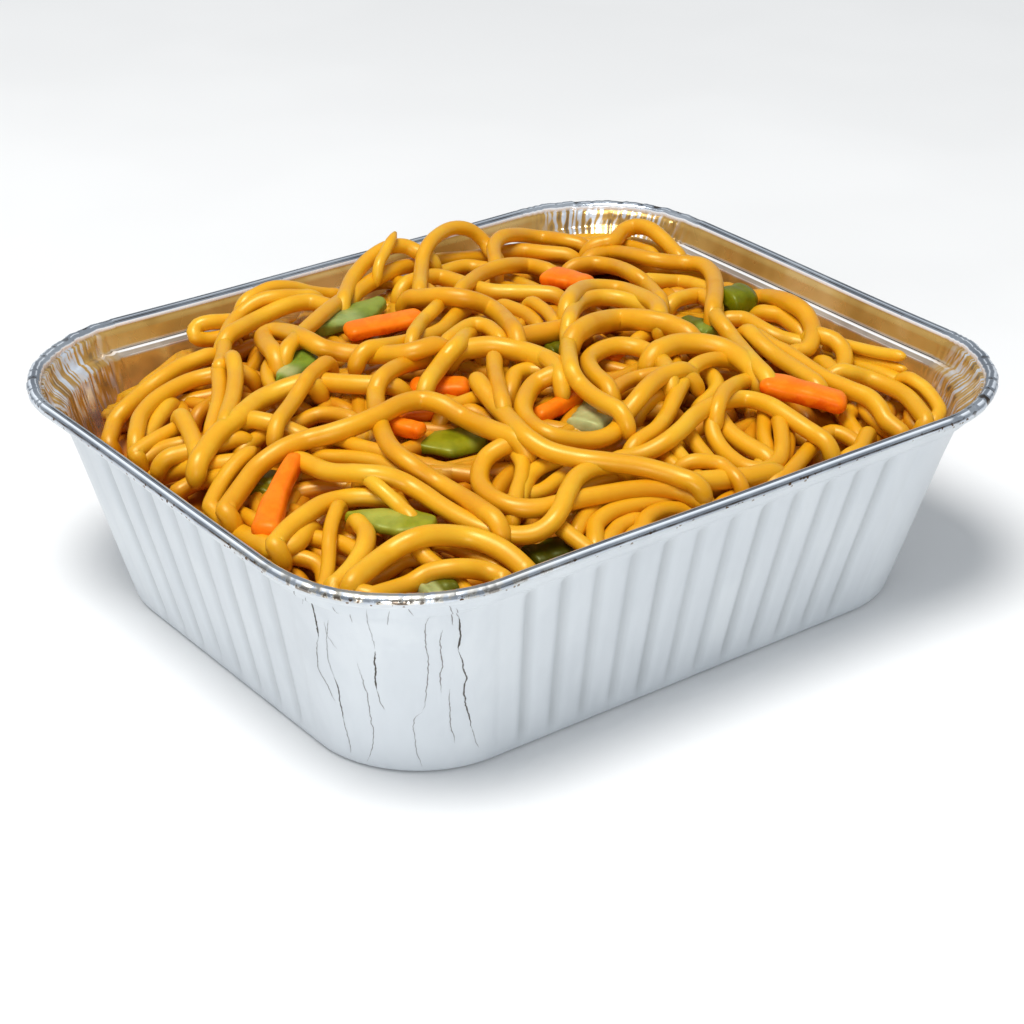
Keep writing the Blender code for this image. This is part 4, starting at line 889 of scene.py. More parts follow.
# %% Strand table
STRANDS = (
    # front left and the left wall
    (6, 1.8, top((-62, -21), (-58, -19.4), (-53, -18.6), (-50, -19), (-46.5, -21), (-43.5, -24))),
    (4, 2.0, top((-65, -8), (-65, -13), (-64.4, -18), (-62.8, -22.2), (-60, -23.4), (-57, -22))),
    (7, 1.35, top((-50.5, -21.2), (-53.2, -23.8), (-55.8, -27), (-58.2, -30.5), (-60.6, -33.6),
                  (-62.6, -35.6))),
    (7, 1.75, top((-50, -27), (-50.6, -29.6), (-53, -32.4), (-56.5, -34.8), (-60, -36.2), (-63, -36.6))),
    (3, 1.6, top((-64, -24.5), (-61.5, -26.3), (-60.2, -29.5), (-60.4, -32), (-61.6, -34.5))),
    (2, 1.5, top((-64.8, -23), (-64, -27), (-64, -30.5))),
    (2, 1.6, top((-58, -22.5), (-56.3, -26), (-54.6, -29.5), (-54, -33))),
    (8, 1.9, top((-57.2, -37.1), (-55.5, -36.7), (-51.5, -35.8), (-47.5, -35.3), (-44, -35.8), (-41, -37.7),
                 (-38, -40.6), (-36.2, -44), (-35.4, -47.5), (-35.2, -52))),
    (6, 1.85, top((-61, -41.6), (-57, -42.8), (-52.5, -43.6), (-48.5, -43.2), (-45, -44.3), (-42, -46.3),
                  (-40, -49), (-39.2, -52))),
    (5, 1.6, top((-46, -36), (-46.7, -39.5), (-46.6, -42.5), (-46, -46), (-46.4, -51))),
    (1, 1.6, top((-58.5, -39), (-54, -39), (-50, -38.6), (-47.5, -39.5))),
    (3, 1.5, top((-42.2, -39.5), (-40.6, -43), (-39.3, -46.5))),
    (7, 1.45, top((-42.4, -18.5), (-42.5, -22), (-42.7, -26), (-42.9, -28.8))),
    (7, 1.8, top((-47.3, -6.5), (-46, -12), (-43, -15.6), (-40.3, -18.8), (-38.8, -22.5), (-38.1, -27),
                 (-37.7, -31), (-36.8, -35.5), (-35.2, -39.6), (-32.6, -42.9), (-29.3, -44.3),
                 (-25.8, -43.8), (-22, -41.8), (-18.4, -39), (-15, -36.9), (-11.5, -36.2), (-8, -36.8))),
    (6, 1.75, top((-13.5, 6.8), (-18, 7.6), (-22.5, 6.4), (-26.2, 3.2), (-29, -0.8), (-31.4, -5),
                  (-33.5, -9.5), (-34.9, -14), (-35.1, -19), (-34.8, -24), (-34.2, -28.5), (-33.3, -33),
                  (-32.6, -37.5))),
    # front middle
    (5, 1.8, top((-16.5, -24.6), (-20, -24.3), (-24, -25.2), (-27.3, -27.6), (-29.5, -31), (-29.7, -34.8),
                 (-28, -38), (-25, -40), (-21, -40.8), (-17, -41.4), (-13, -42.3), (-9, -43.2), (-5, -44.6),
                 (-1.8, -46.8), (0.5, -50.5))),
    (4, 1.5, top((-19.5, -27), (-20.6, -30), (-23, -32.8), (-25.5, -35), (-27.3, -36.8))),
    (3, 1.6, top((-14.5, -32.2), (-18, -31.9), (-21.3, -32.9), (-24, -34.8))),
    (2, 1.6, top((-14, -35), (-18, -36), (-22, -37), (-25.6, -36.6))),
    (3, 1.6, top((-16, -39.6), (-12, -39.2), (-8, -39.8), (-4.5, -41.6))),
    (3, 1.7, top((-21, -49.2), (-19, -47), (-15, -45.9), (-10.5, -46.3), (-5.5, -47.3))),
    (2, 1.6, top((-21.5, -46), (-18, -44.4), (-13, -44.4))),
    (4, 1.7, top((-13.5, -51.5), (-11, -49.5), (-7.5, -48.9), (-4.6, -50), (-2.8, -52))),
    (2, 1.7, top((-20, -51), (-16.5, -49.3), (-13.5, -49))),
    (4, 1.5, top((-24.8, -44), (-24.3, -47.5), (-23.4, -52))),
    (8, 1.85, top((-10.8, -3.8), (-12, -7.5), (-13.2, -11.5), (-14.2, -16), (-15, -20.5), (-15.4, -25),
                  (-14.6, -29.3), (-11.8, -33), (-8, -36), (-4.2, -38.9), (-1.2, -42), (1, -44.8)), "first"),
    (6, 1.75, top((-5, -36.4), (-1, -36.9), (4, -36.1), (9, -34.4), (13.5, -32.4), (18, -31.2), (22, -31),
                  (25.6, -32), (27.9, -34.8), (28.7, -38.6), (29.3, -42.3), (29.9, -45))),
    (5, 2.0, top((-1.5, -44.8), (2.5, -46), (6.5, -47.2), (11, -48.4), (15, -49))),
    (6, 1.5, top((5.6, -42), (7.4, -42.9), (9, -44.4), (9.2, -46.6))),
    (2, 1.4, top((1.5, -37), (1.6, -41), (1.6, -45))),
    (3, 1.5, top((4.6, -36.5), (4, -40), (3.3, -44.5))),
    (3, 1.5, top((9.4, -35.5), (8.4, -39), (7.8, -42.8))),
    (5, 1.6, top((16.5, -33.5), (14, -36.2), (12.2, -39.6), (11.6, -43.2), (12.4, -46.4), (15, -48.2),
                 (18.5, -47.6), (21.5, -45.4), (24, -42.5), (26, -39.8))),
    (4, 1.5, top((25.6, -36.4), (23, -39.2), (20.6, -41.9), (18.6, -45), (16, -46.6))),
    (4, 1.6, top((26.8, -40), (24.6, -43.2), (21.6, -46.2), (18, -48.8), (13.5, -50.4), (8, -50.9),
                 (4, -51.5))),
    (5, 1.6, top((35.4, -51), (34.8, -47), (33, -45), (29.6, -45.7), (25.5, -47.4), (21, -49.4),
                 (16.5, -51.2))),
    (4, 1.8, top((17, -34.5), (16, -38), (16.2, -41.5), (17.3, -44.8))),
    (7, 1.6, top((0.8, -33.7), (5, -32.6), (9.3, -30.2), (13.5, -27), (17.5, -24), (21.5, -21.2),
                 (25.5, -19.2), (29.4, -18.8), (32, -20.8), (32.3, -24), (30.6, -26.8), (27, -27.4),
                 (23.5, -28.6), (20.6, -30.6))),
    (3, 1.8, top((24.6, -22), (24.2, -25), (22, -28), (18, -30))),
    (3, 1.9, top((3.5, -25.6), (6.5, -27), (9, -28.6))),
    (3, 2.0, top((8, -26), (12, -25), (16.5, -22.8))),
    (7, 1.85, top((1, -10.2), (-3.5, -11.2), (-7.5, -13.8), (-10.8, -17.2), (-12.3, -21), (-12, -25),
                  (-9.6, -28.6), (-5.6, -30.5), (-1.2, -29.9), (3, -27), (7.5, -24.4), (12, -21.9),
                  (16.5, -20), (20.5, -19.6))),
    (6, 1.6, top((5.2, -20.5), (8, -19.2), (12, -18.5), (16, -19), (20, -20.6))),
    (8, 1.75, top((2.8, -24.6), (2, -20.5), (2.4, -16), (4, -11.5), (6.8, -7), (10, -2.6), (13.2, 1.6),
                  (16.5, 5.4), (20.3, 9), (24.4, 11.6), (28.6, 12.2), (31.8, 9.8), (32.8, 5.5), (32.2, 1.5))),
    # right half
    (7, 2.0, top((22.5, 13.2), (26.3, 16), (30.5, 16.8), (34.6, 14), (36, 9), (35.8, 4.5), (34, 1.5))),
    (6, 2.2, top((14.5, 0.5), (19, 2.2), (24, 1.9), (28.4, 0), (31.4, -3.2), (32.2, -7.2))),
    (6, 1.8, top((6.4, -17.5), (7, -13.5), (9, -9.6), (12.7, -7.5), (16.8, -7.1), (19.7, -9.2), (20.5, -13),
                 (19.7, -17), (18, -20.4))),
    (4, 1.3, top((23.6, -15), (22, -17.5), (20.7, -20))),
    (6, 2.2, top((23, -12), (27.2, -11.4), (31, -12.6), (33.8, -15.4), (34.4, -19.2), (34, -23))),
    (2, 1.6, top((22.8, -6.6), (26, -5.8), (29, -7.4))),
    (7, 1.75, top((41.9, 5.9), (45.5, 6.9), (48.6, 6.7), (47.5, 1.8), (43.6, -3), (41.2, -8), (39, -13),
                  (37.2, -17.5), (35.6, -22), (34.6, -26))),
    (7, 1.75, top((44.3, -13.8), (43.9, -18), (44.5, -21.2), (44.2, -26.3), (44.3, -31), (45.8, -35.2),
                  (47.4, -38.8), (46.6, -42.4), (45, -46), (45, -51))),
    (4, 1.6, top((45.6, -39.8), (43.8, -42), (43, -45.5), (43.2, -51))),
    (3, 1.7, top((42.5, -27), (43, -32), (44.2, -37.5))),
    (2, 1.6, top((50.5, -46.4), (48.8, -48.4), (48.5, -52))),
    (5, 1.6, top((38.2, -48), (36.2, -49.3), (34.4, -50.6), (32.8, -52))),
    (2, 1.7, top((41.5, -41.2), (38.4, -43), (37, -46.5))),
    (6, 1.7, top((38.4, 30.4), (41.8, 29.6), (44, 25.4), (43.6, 19.5), (41.6, 13.5), (39.2, 7.5))),
    # back left
    (4, 1.8, top((-64, 27), (-60.5, 31.2), (-55.5, 34.8), (-49.5, 37.5), (-43.5, 38.8), (-38.5, 38.2))),
    (4, 1.7, top((-61, 23.5), (-57.5, 28), (-52.5, 31), (-46.5, 31.6), (-42, 29.6), (-39, 27))),
    (2, 1.6, top((-60, 21), (-56.6, 24), (-53, 26.6))),
    (8, 1.6, top((-51.5, 14.5), (-47.4, 19.5), (-43.8, 24.8), (-40.6, 30.4)) +
     back((-28.3, 32.5), (-27.2, 37), (-24, 40), (-19.8, 41.5), (-15, 41), (-10.4, 39.8))),
    (7, 1.7, top((-48.5, 15), (-44.4, 19.6), (-40.8, 24.6), (-38.2, 29), (-36.6, 32.2))),
    (5, 1.35, top((-38.6, 16), (-37.1, 20), (-34.6, 24), (-31, 27), (-27.4, 28.2))),
    (7, 1.9, top((-30.3, 29), (-28.8, 34), (-26.8, 37.8), (-24.4, 38.2), (-23.3, 34), (-23.4, 28.5),
                 (-23.6, 23), (-21.6, 17.8), (-18.2, 13.6), (-14.2, 11.2), (-9.5, 10.8))),
    # centre
    (6, 1.7, top((-18, 17), (-14, 15.2), (-9, 14.3), (-4.5, 15), (-1, 17.2), (3, 20), (6, 21.6))),
    (6, 1.5, top((-8.6, 17.4), (-4.6, 20.8), (0, 24), (4.2, 27))),
    (7, 1.8, top((-17.2, 0.4), (-13.8, 2.8), (-9.6, 5.8), (-5.2, 8.6), (-1.4, 11), (1.6, 12.6))),
    (6, 1.6, top((2.4, 8), (3, 11.6), (1.6, 13.8), (-1.6, 13), (-5.4, 11.2))),
    (5, 2.2, top((-5.5, 6), (-1.6, 4.4), (1, 0.8), (2.6, -3), (3.2, -6.6))),
    (4, 2.3, top((0.6, 4.4), (6, 4), (10, 3.3), (14, 2.8))),
    (7, 1.9, top((2.5, 32.2), (6.4, 29.6), (8.6, 25), (9, 20), (8.2, 15), (6.9, 10.6), (5.7, 7))),
    (4, 1.35, top((16.7, 15.5), (15.8, 11), (14.2, 6.6))),
    (1, 1.5, top((11.5, 17), (12, 12), (11, 8))),
    (6, 1.7, top((-4.4, -0.6), (-6.8, -4), (-9.2, -8), (-11.6, -12.4))),
    (2, 1.9, top((-7, -9), (-4.6, -7), (-2, -7), (0, -9))),
    (6, 1.7, top((3.6, -5.2), (3, -7.6), (2.2, -9.6))),
    (3, 1.6, top((-19.6, -9.8), (-15, -9.8))),
    (6, 1.9, top((-62.5, -7.4), (-58, -4.8), (-53, -2), (-48, -1), (-44, -1.5), (-40, -3), (-35, -4),
                 (-30, -4), (-26, -3.6), (-22.6, -4.6), (-20.8, -8), (-20.5, -12), (-20, -16),
                 (-18.9, -19.5), (-17.4, -23))),
    (3, 1.6, top((-18, -13), (-17.4, -17), (-17, -21))),
    # left side
    (7, 1.55, top((-66, -6.5), (-62, -3), (-58, 0), (-54.2, 2), (-51.2, 2.7)), "last"),
    (4, 1.6, top((-43.6, -8.8), (-41, -12), (-38.8, -15.6), (-37.8, -19.5))),
    (4, 1.5, top((-39.4, -6), (-38.3, -10), (-36.6, -14), (-36, -17))),
    (3, 1.5, top((-62.5, -6.5), (-61.3, -11), (-60.8, -15.5))),
    (6, 2.0, top((-57, 8.6), (-52.5, 11.4), (-47.4, 13), (-42.4, 14.8), (-38, 15), (-34, 14.3))),
    (6, 1.6, top((-43, 7), (-38.8, 9.8), (-34.8, 13), (-31.4, 15.6), (-27.6, 17.4))),
    (5, 2.0, top((-31.8, 13), (-29.2, 9.2), (-26.6, 6), (-24, 3.4))),
    (5, 1.8, top((-45.8, 10), (-44.4, 6.4), (-43.8, 3), (-43.2, -0.6))),
    (2, 1.7, top((-42, 3.4), (-38.2, 3.4), (-36, 1.4), (-34.8, -1))),
    (2, 1.6, top((-50, 4.6), (-46, 5.4))),
    (4, 1.8, top((-60, 12), (-56, 9.8), (-51.5, 8))),
    (3, 1.8, top((-66, 10), (-61.5, 7.7), (-57.6, 4.6), (-55, 2.4))),
    (3, 1.7, top((-66, 3.4), (-61.6, 2.8), (-58, 0.2))),
    (5, 1.8, top((-56.6, 11.6), (-55, 16), (-53.6, 20.6))),
    (3, 1.6, top((-66, 18.6), (-60.5, 19), (-56, 18.8))),
    (2, 1.6, top((-66, 15.5), (-61, 15.8), (-57.5, 14))),
    # along the back wall
    (4, 1.6, back((-27.5, 39.3), (-31, 40), (-33.4, 39.8), (-33.9, 38), (-31.6, 36.8), (-28.5, 36.4))),
    (5, 1.5, back((-21.5, 42.6), (-17.4, 43.3), (-13, 42.2), (-8.8, 40.2), (-5, 38.8))),
    (6, 1.8, back((-26.5, 36.6), (-20.5, 38), (-14.4, 39), (-9.4, 38.5), (-5.4, 36.6))),
    (7, 1.7, back((-14, 31), (-9.8, 33.6), (-5, 36), (0, 37.7), (5, 38.6), (9, 37.9), (13, 36.2),
                  (16.5, 34.6))),
    (7, 1.8, back((13, 36.8), (16.5, 36.9), (20, 36.2), (24, 34.2), (28.4, 31.8), (33, 29.8), (38, 28.4),
                  (42.5, 27.2), (46.5, 26))),
    (6, 1.7, back((1, 37.8), (5.4, 39.4), (10, 40.3), (15, 40), (20, 39.6), (25, 38.7), (30, 37.9),
                  (35, 37.6), (40, 36.8), (45, 35.2), (50, 33.6))),
    (4, 1.6, back((15.5, 36.6), (20.5, 37), (26, 36.9), (31, 35.2))),
    (7, 1.7, back((-1.7, 37.6), (0.6, 41.2), (4.2, 43.8), (8.4, 45), (12, 44.4), (15.2, 42.4))),
    (7, 1.2, back((7.2, 43.5), (8.4, 45.2), (9.6, 46.9)), "last"),
    (7, 1.6, back((15.4, 35.4), (15.8, 38.6), (16.6, 42), (19, 44.4), (23, 45.4), (27, 44.2), (30.2, 41.4),
                  (32.4, 38.2))),
    (7, 1.6, back((33.4, 36), (33, 39.3), (35, 40.8), (39, 40.3), (43.5, 38.8), (48.4, 37.2), (53, 35.4))),
    (6, 1.7, back((25.5, 32.6), (30, 34.3), (34, 34.7), (38, 34.2), (42.5, 32.8), (46, 31.2))),
    # along the right wall
    (7, 1.8, right((13.9, 33), (13.6, 36), (14.4, 38.9), (17.4, 39.9), (22, 38.9), (27, 37.5), (33, 36.2),
                   (39, 35.2), (45, 33.6), (50, 31.4))),
    (5, 1.8, right((15.5, 36.8), (20, 37), (26, 36), (32, 34.8), (38, 33.8))),
    (7, 1.8, right((25.5, 40), (29, 41.4), (33, 42.3), (37.4, 41.5), (41.4, 39.2), (44, 36.4), (47.6, 34.6))),
    (4, 1.7, right((15.8, 35.6), (21.5, 34.9), (27.5, 33.2), (33, 31.6))),
    (7, 1.8, right((-9.5, 31.6), (-12.4, 33.4), (-13.4, 37), (-11.2, 39.7), (-7, 40.5), (-2, 39.8),
                   (2.6, 38.2), (6, 36.4))),
    (3, 1.8, right((-9, 36.4), (-5, 37.2), (-1, 36.4))),
    (5, 1.8, right((-9.5, 33.4), (-4, 32.6), (1, 32.8), (5, 33), (8.4, 32))),
    (6, 1.7, right((3.2, 31), (0, 29.8), (-4.2, 28.8), (-9.5, 28.2), (-14, 27.6))),
    (6, 1.7, right((-15.5, 37), (-19, 37.2), (-21.6, 35.8), (-21.8, 33), (-19.6, 31.4), (-17.2, 32))),
    (5, 1.25, right((-20.5, 37.2), (-25, 37.9), (-30, 38.8), (-36, 40.2)), "last"),
    (4, 1.3, right((-24, 35.7), (-30, 36.7), (-36.5, 37.8)), "last"),
    (4, 1.7, right((-22.5, 33.5), (-28.8, 34.8), (-34.1, 35.2), (-38.9, 34.8), (-42.5, 33.3), (-44.9, 31.3))),
    (5, 1.4, right((-38.5, 36.8), (-42, 36.2), (-44.8, 34.6), (-46.7, 32.4))),
    (6, 1.7, right((-42, 31), (-37.6, 33.2), (-32, 33.4), (-27, 33), (-21.8, 32.2))),
    # down in the far corner
    (5, 1.7, top((61.5, 27), (61, 33), (59, 39), (55, 43.5), (49, 46.5))),
    (5, 1.6, top((58, 33), (57, 37.5), (53.5, 41.5), (48, 44))),
)
STAND_OFF = {8: 0.6, 7: 0.0, 6: -0.9, 5: -1.9, 4: -2.8, 3: -3.5, 2: -4.2, 1: -4.8, 0: -5.4}
print("strands in the table:", len(STRANDS))

# %% [markdown]
# ## Splines and a height map
#
# `spline` draws a smooth curve through the points of a row, in even steps.  The
# height map remembers the upper surface of all that has been laid: `contact`
# tells how high a strand must be to clear it, and `add` lays a strand on it.

# %% Splines and the height map
NOWHERE, FINE_STEPS = -99.0, 12
MAP_X, MAP_Y, MAP_DEPTH = 75.0, 64.0, 7.0   # half size of the map; it starts this far below the crown


def spline(points, step):
    pts = [np.array(p, float) for p in points]
    pts = [2 * pts[0] - pts[1]] + pts + [2 * pts[-1] - pts[-2]]
    fine = []
    for i in range(1, len(pts) - 2):
        p0, p1, p2, p3 = pts[i - 1:i + 3]
        for t in np.linspace(0, 1, FINE_STEPS, endpoint=False):
            fine.append(0.5 * (2 * p1 + (p2 - p0) * t + (2 * p0 - 5 * p1 + 4 * p2 - p3) * t ** 2
                               + (3 * p1 - p0 - 3 * p2 + p3) * t ** 3))
    fine.append(pts[-2])
    fine = np.array(fine)
    run = np.concatenate(([0], np.cumsum(np.linalg.norm(np.diff(fine, axis=0), axis=1))))
    at = np.linspace(0, run[-1], max(int(round(run[-1] / step)), 4) + 1)
    return np.stack([np.interp(at, run, fine[:, k]) for k in range(3)], axis=1)


def smooth_line(values, sigma):
    reach = int(3 * sigma) + 1
    kernel = np.exp(-0.5 * (np.arange(-reach, reach + 1) / sigma) ** 2)
    return np.convolve(np.pad(values, reach, mode="edge"), kernel / kernel.sum(), mode="valid")


class HeightMap:
    def __init__(self):
        """A grid of heights over the tray, a little below the crown."""
        self.xs, self.ys = np.arange(-MAP_X, MAP_X + 0.1, GRID), np.arange(-MAP_Y, MAP_Y + 0.1, GRID)
        gx, gy = np.meshgrid(self.xs, self.ys, indexing="ij")
        self.z = crown(gx, gy) - MAP_DEPTH

    def cells(self, xy, reach):
        n = int(reach / GRID) + 1
        di, dj = np.meshgrid(range(-n, n + 1), range(-n, n + 1), indexing="ij")
        i0 = np.round((xy[:, 0] - self.xs[0]) / GRID).astype(int)
        j0 = np.round((xy[:, 1] - self.ys[0]) / GRID).astype(int)
        i = np.clip(i0[:, None] + di.ravel()[None, :], 0, len(self.xs) - 1)
        j = np.clip(j0[:, None] + dj.ravel()[None, :], 0, len(self.ys) - 1)
        return i, j, (self.xs[i] - xy[:, 0:1]) ** 2 + (self.ys[j] - xy[:, 1:2]) ** 2

    def contact(self, xy, radius):
        i, j, d2 = self.cells(xy, radius)
        lift = np.sqrt(np.maximum(radius ** 2 - d2, 0.0))
        return np.where(d2 < radius ** 2, self.z[i, j] + lift, NOWHERE).max(axis=1)

    def add(self, path, radius):
        i, j, d2 = self.cells(path, radius)
        lift = path[:, 2:3] + np.sqrt(np.maximum(radius ** 2 - d2, 0.0))
        ok = d2 < radius ** 2
        np.maximum.at(self.z, (i[ok], j[ok]), lift[ok])


print("height map spacing:", GRID, "mm")

# %% [markdown]
# ## Laying a strand
#
# A strand wants to rest at its level's distance from the crown, and climbs over
# what it meets, smoothly, because a noodle has some stiffness.  Its ends dive
# into the pile.  This is cheaper than a simulation and keeps every curl where it
# was put.

# %% Laying
END_BEND, STEEP = 3.2, 72.0
LAY_STEP, LAY_ROUNDS, SINK = 0.8, 5, 0.25


def dive(path, free_end):
    """Carry both ends on over a short bend and down between the neighbours."""
    turns = np.radians(np.linspace(0, STEEP, 8)[1:])
    tails = []
    for name, end, inner in (("first", path[0], path[3]), ("last", path[-1], path[-4])):
        if name == free_end:
            tails.append([end + (end - inner) / 3])
            continue
        way = (end - inner) * (1, 1, 0)
        way = way / (np.linalg.norm(way) + 1e-9)
        bend = [end + END_BEND * (way * math.sin(a) - np.array((0, 0, 1 - math.cos(a)))) for a in turns]
        down = way * math.cos(turns[-1]) - np.array((0, 0, math.sin(turns[-1])))
        tails.append(bend + [bend[-1] + down * d for d in (0.8, 1.6, 2.4)])
    return np.vstack((tails[0][::-1], path, tails[1]))


def lay(heights, level, radius, route, free_end="", climb=3.0):
    samples = spline(route, LAY_STEP)
    count = len(samples)
    z = samples[:, 2].copy()
    on_back = np.abs(samples[:, 1] - BACK_SHEET_Y) < 0.01
    free = on_back | (np.abs(samples[:, 0] - RIGHT_SHEET_X) < 0.01)
    for _ in range(LAY_ROUNDS):
        path = np.array([slide(samples[k], z[k]) for k in range(count)])
        rest = crown(path[:, 0], path[:, 1]) + STAND_OFF[level]
        rest = np.where(free, np.maximum(rest, samples[:, 2]), rest)
        bump = np.clip(heights.contact(path[:, :2], radius) - SINK - rest, 0.0, climb)
        wide = np.array([bump[max(k - 1, 0):k + 2].max() for k in range(count)])
        z = 0.5 * z + 0.5 * (rest + smooth_line(wide, 2.6))
    z = smooth_line(z, 2.0)
    path = dive(np.array([slide(samples[k], z[k]) for k in range(count)]), free_end)
    path = np.array([keep_inside(p, radius * 1.05 + GAP) for p in path])
    heights.add(path, radius)
    return path


print("a strand is sampled every", LAY_STEP, "mm")

# %% [markdown]
# ## Vegetables: where they lie
#
# Carrot sticks and green pieces are bedded between the lower and the upper
# strands.  Each row names a piece, its two ends on the sheet, its breadth at
# each end, its thickness, and how far its top stands off the crown.

# %% Vegetable table
PIECES = (
    ("carrot_1", top((-62.0, -18.4), (-47.2, -4.7)), 4.8, 2.7, 3.4, 2.0),
    ("carrot_2", top((31.4, -28.6), (41.6, -39.6)), 5.6, 5.2, 3.4, 3.6),
    ("carrot_3", top((-10.6, -20.4), (1.8, -17.7)), 2.8, 3.0, 2.8, -0.4),
    ("carrot_4", top((-31.0, -7.1), (-28.1, -13.3)), 3.2, 3.4, 2.6, 0.4),
    ("carrot_5", top((-28.8, -6.9), (-22.9, -9.9)), 2.4, 2.4, 2.0, -1.2),
    ("carrot_6", top((-21.7, 0.1), (-13.5, -6.0)), 5.4, 5.0, 2.8, -0.8),
    ("carrot_7", top((-17.1, 26.3), (-2.6, 22.9)), 4.8, 5.8, 2.6, 0.9),
    ("carrot_8", top((28.5, 28.0), (31.7, 17.9)), 6.6, 4.0, 2.8, 0.9),
    ("carrot_9", top((11.7, -11.0), (16.3, -11.4)), 2.6, 2.6, 2.2, -2.0),
    ("green_1", top((-20.2, 31.0), (-2.7, 35.9)), 6.2, 5.6, 2.0, 0.4),
    ("green_2", top((-36.7, 17.7), (-26.4, 23.4)), 4.2, 6.4, 2.0, 0.2),
    ("green_3", top((-33.0, -14.6), (-21.1, -21.1)), 6.0, 9.0, 2.2, -2.2),
    ("green_4", top((-6.3, -27.6), (2.0, -23.3)), 6.6, 7.4, 3.0, -0.5),
    ("green_5", top((5.0, -2.8), (10.1, -3.6)), 3.8, 3.6, 2.2, -1.2),
    ("green_6", top((36.2, -3.1), (35.9, -10.8)), 3.4, 3.6, 2.2, -0.6),
    ("green_7", right((11.6, 34.0), (3.4, 38.4)), 7.4, 6.0, 4.6, 3.2),
    ("green_8", top((-50.8, -24.0), (-41.1, -34.9)), 4.4, 8.6, 2.0, 1.0),
    ("green_9", top((-33.6, -48.6), (-25.4, -49.0)), 6.0, 6.0, 2.4, -1.4),
    ("green_10", top((-52.4, -46.9), (-46.6, -47.5)), 4.6, 4.6, 2.6, 0.5),
    ("green_11", top((-57.2, -8.7), (-52.1, -6.0)), 4.4, 4.4, 2.2, -1.4),
)
LYING_ON_TOP = ("carrot_1", "carrot_2", "green_7", "green_8", "green_10")
POINTED = ("green_1", "green_2", "green_3", "green_8")
COVER_STEPS, PIECE_ROOM = 10, 0.6


def piece_frame(spec):
    name, ends, broad_a, broad_b, thick, off = spec
    line = []
    for p in ends:
        z = float(crown(p[0], p[1]))
        if p[0] == RIGHT_SHEET_X:
            z = max(z, p[2])
        line.append(keep_inside(slide(p, z + off - thick / 2), PIECE_ROOM + max(broad_a, broad_b) / 2))
    return name, line[0], line[1], broad_a, broad_b, thick


def piece_cover(heights, piece):
    _, a, b, broad_a, broad_b, thick = piece
    for t in np.linspace(0, 1, COVER_STEPS):
        centre = a + (b - a) * t
        broad = (broad_a + (broad_b - broad_a) * t) / 2
        d2 = (heights.xs[:, None] - centre[0]) ** 2 + (heights.ys[None, :] - centre[1]) ** 2
        patch = d2 < broad ** 2
        heights.z[patch] = np.maximum(heights.z[patch], centre[2] + thick / 2 + GAP)


piece_frames = [piece_frame(spec) for spec in PIECES]
print("vegetable pieces:", len(piece_frames))

# %% [markdown]
# ## Filler strands and the order of laying
#
# Below the strands that were drawn lie many more.  A seeded walk draws them: a
# start in the tray, a heading that turns slowly, 30 to 65 mm of noodle.  They
# go down first, then the low strands, then the vegetables, then the upper ones.

# %% Lay the whole pile
FILLERS, STRIDE = 120, 4
LOW_LEVELS = 5   # levels up to this one lie below the vegetables


def filler_route(draw):
    x, y = draw.uniform(-60, 60), draw.uniform(-50, 50)
    heading, bend = draw.uniform(0, 2 * math.pi), draw.normal(0, 0.09)
    route = []
    for _ in range(int(draw.integers(9, 18))):
        route.append((x, y))
        heading += bend + draw.normal(0, 0.16)
        bend = 0.85 * bend + draw.normal(0, 0.05)
        if abs(x + STRIDE * math.cos(heading)) > 61 or abs(y + STRIDE * math.sin(heading)) > 50:
            heading += 1.2
        x, y = x + STRIDE * math.cos(heading), y + STRIDE * math.sin(heading)
    return top(*[(max(-63, min(63, px)), max(-52, min(52, py))) for px, py in route])


draw = np.random.default_rng(5)
heap = HeightMap()
filler_paths = []
for k in range(FILLERS):
    radius = float(draw.uniform(1.5, 1.95))
    filler_paths.append((lay(heap, 0, radius, filler_route(draw), climb=1.6), radius))
low_rows = sorted((row for row in STRANDS if row[0] <= LOW_LEVELS), key=lambda row: row[0])
low_paths = [(lay(heap, *row), row[1]) for row in low_rows]
for piece in piece_frames:
    if piece[0] not in LYING_ON_TOP:
        piece_cover(heap, piece)
high_paths = [(lay(heap, *row), row[1]) for row in STRANDS if row[0] > LOW_LEVELS]
print("laid", len(filler_paths), "fillers,", len(low_paths), "low and", len(high_paths), "upper strands")

# %% [markdown]
# ## Round tubes
#
# A tube is a ring swept along its path.  The frame is carried from ring to ring
# without twisting, the radius breathes a little, and both ends are drawn in to
# a soft tip.  Each point stores a tint: red is the strand's own tone, green is
# painted shade, from how deep it lies in the pile and more on the side facing
# down, blue a slow change along the strand.

# %% Sweep the strands
SIDES, FILLER_SIDES = 14, 10
SLIM = 0.87
TIP = (0.35, 0.72, 0.93, 1.0)   # share of the radius at the end of a strand


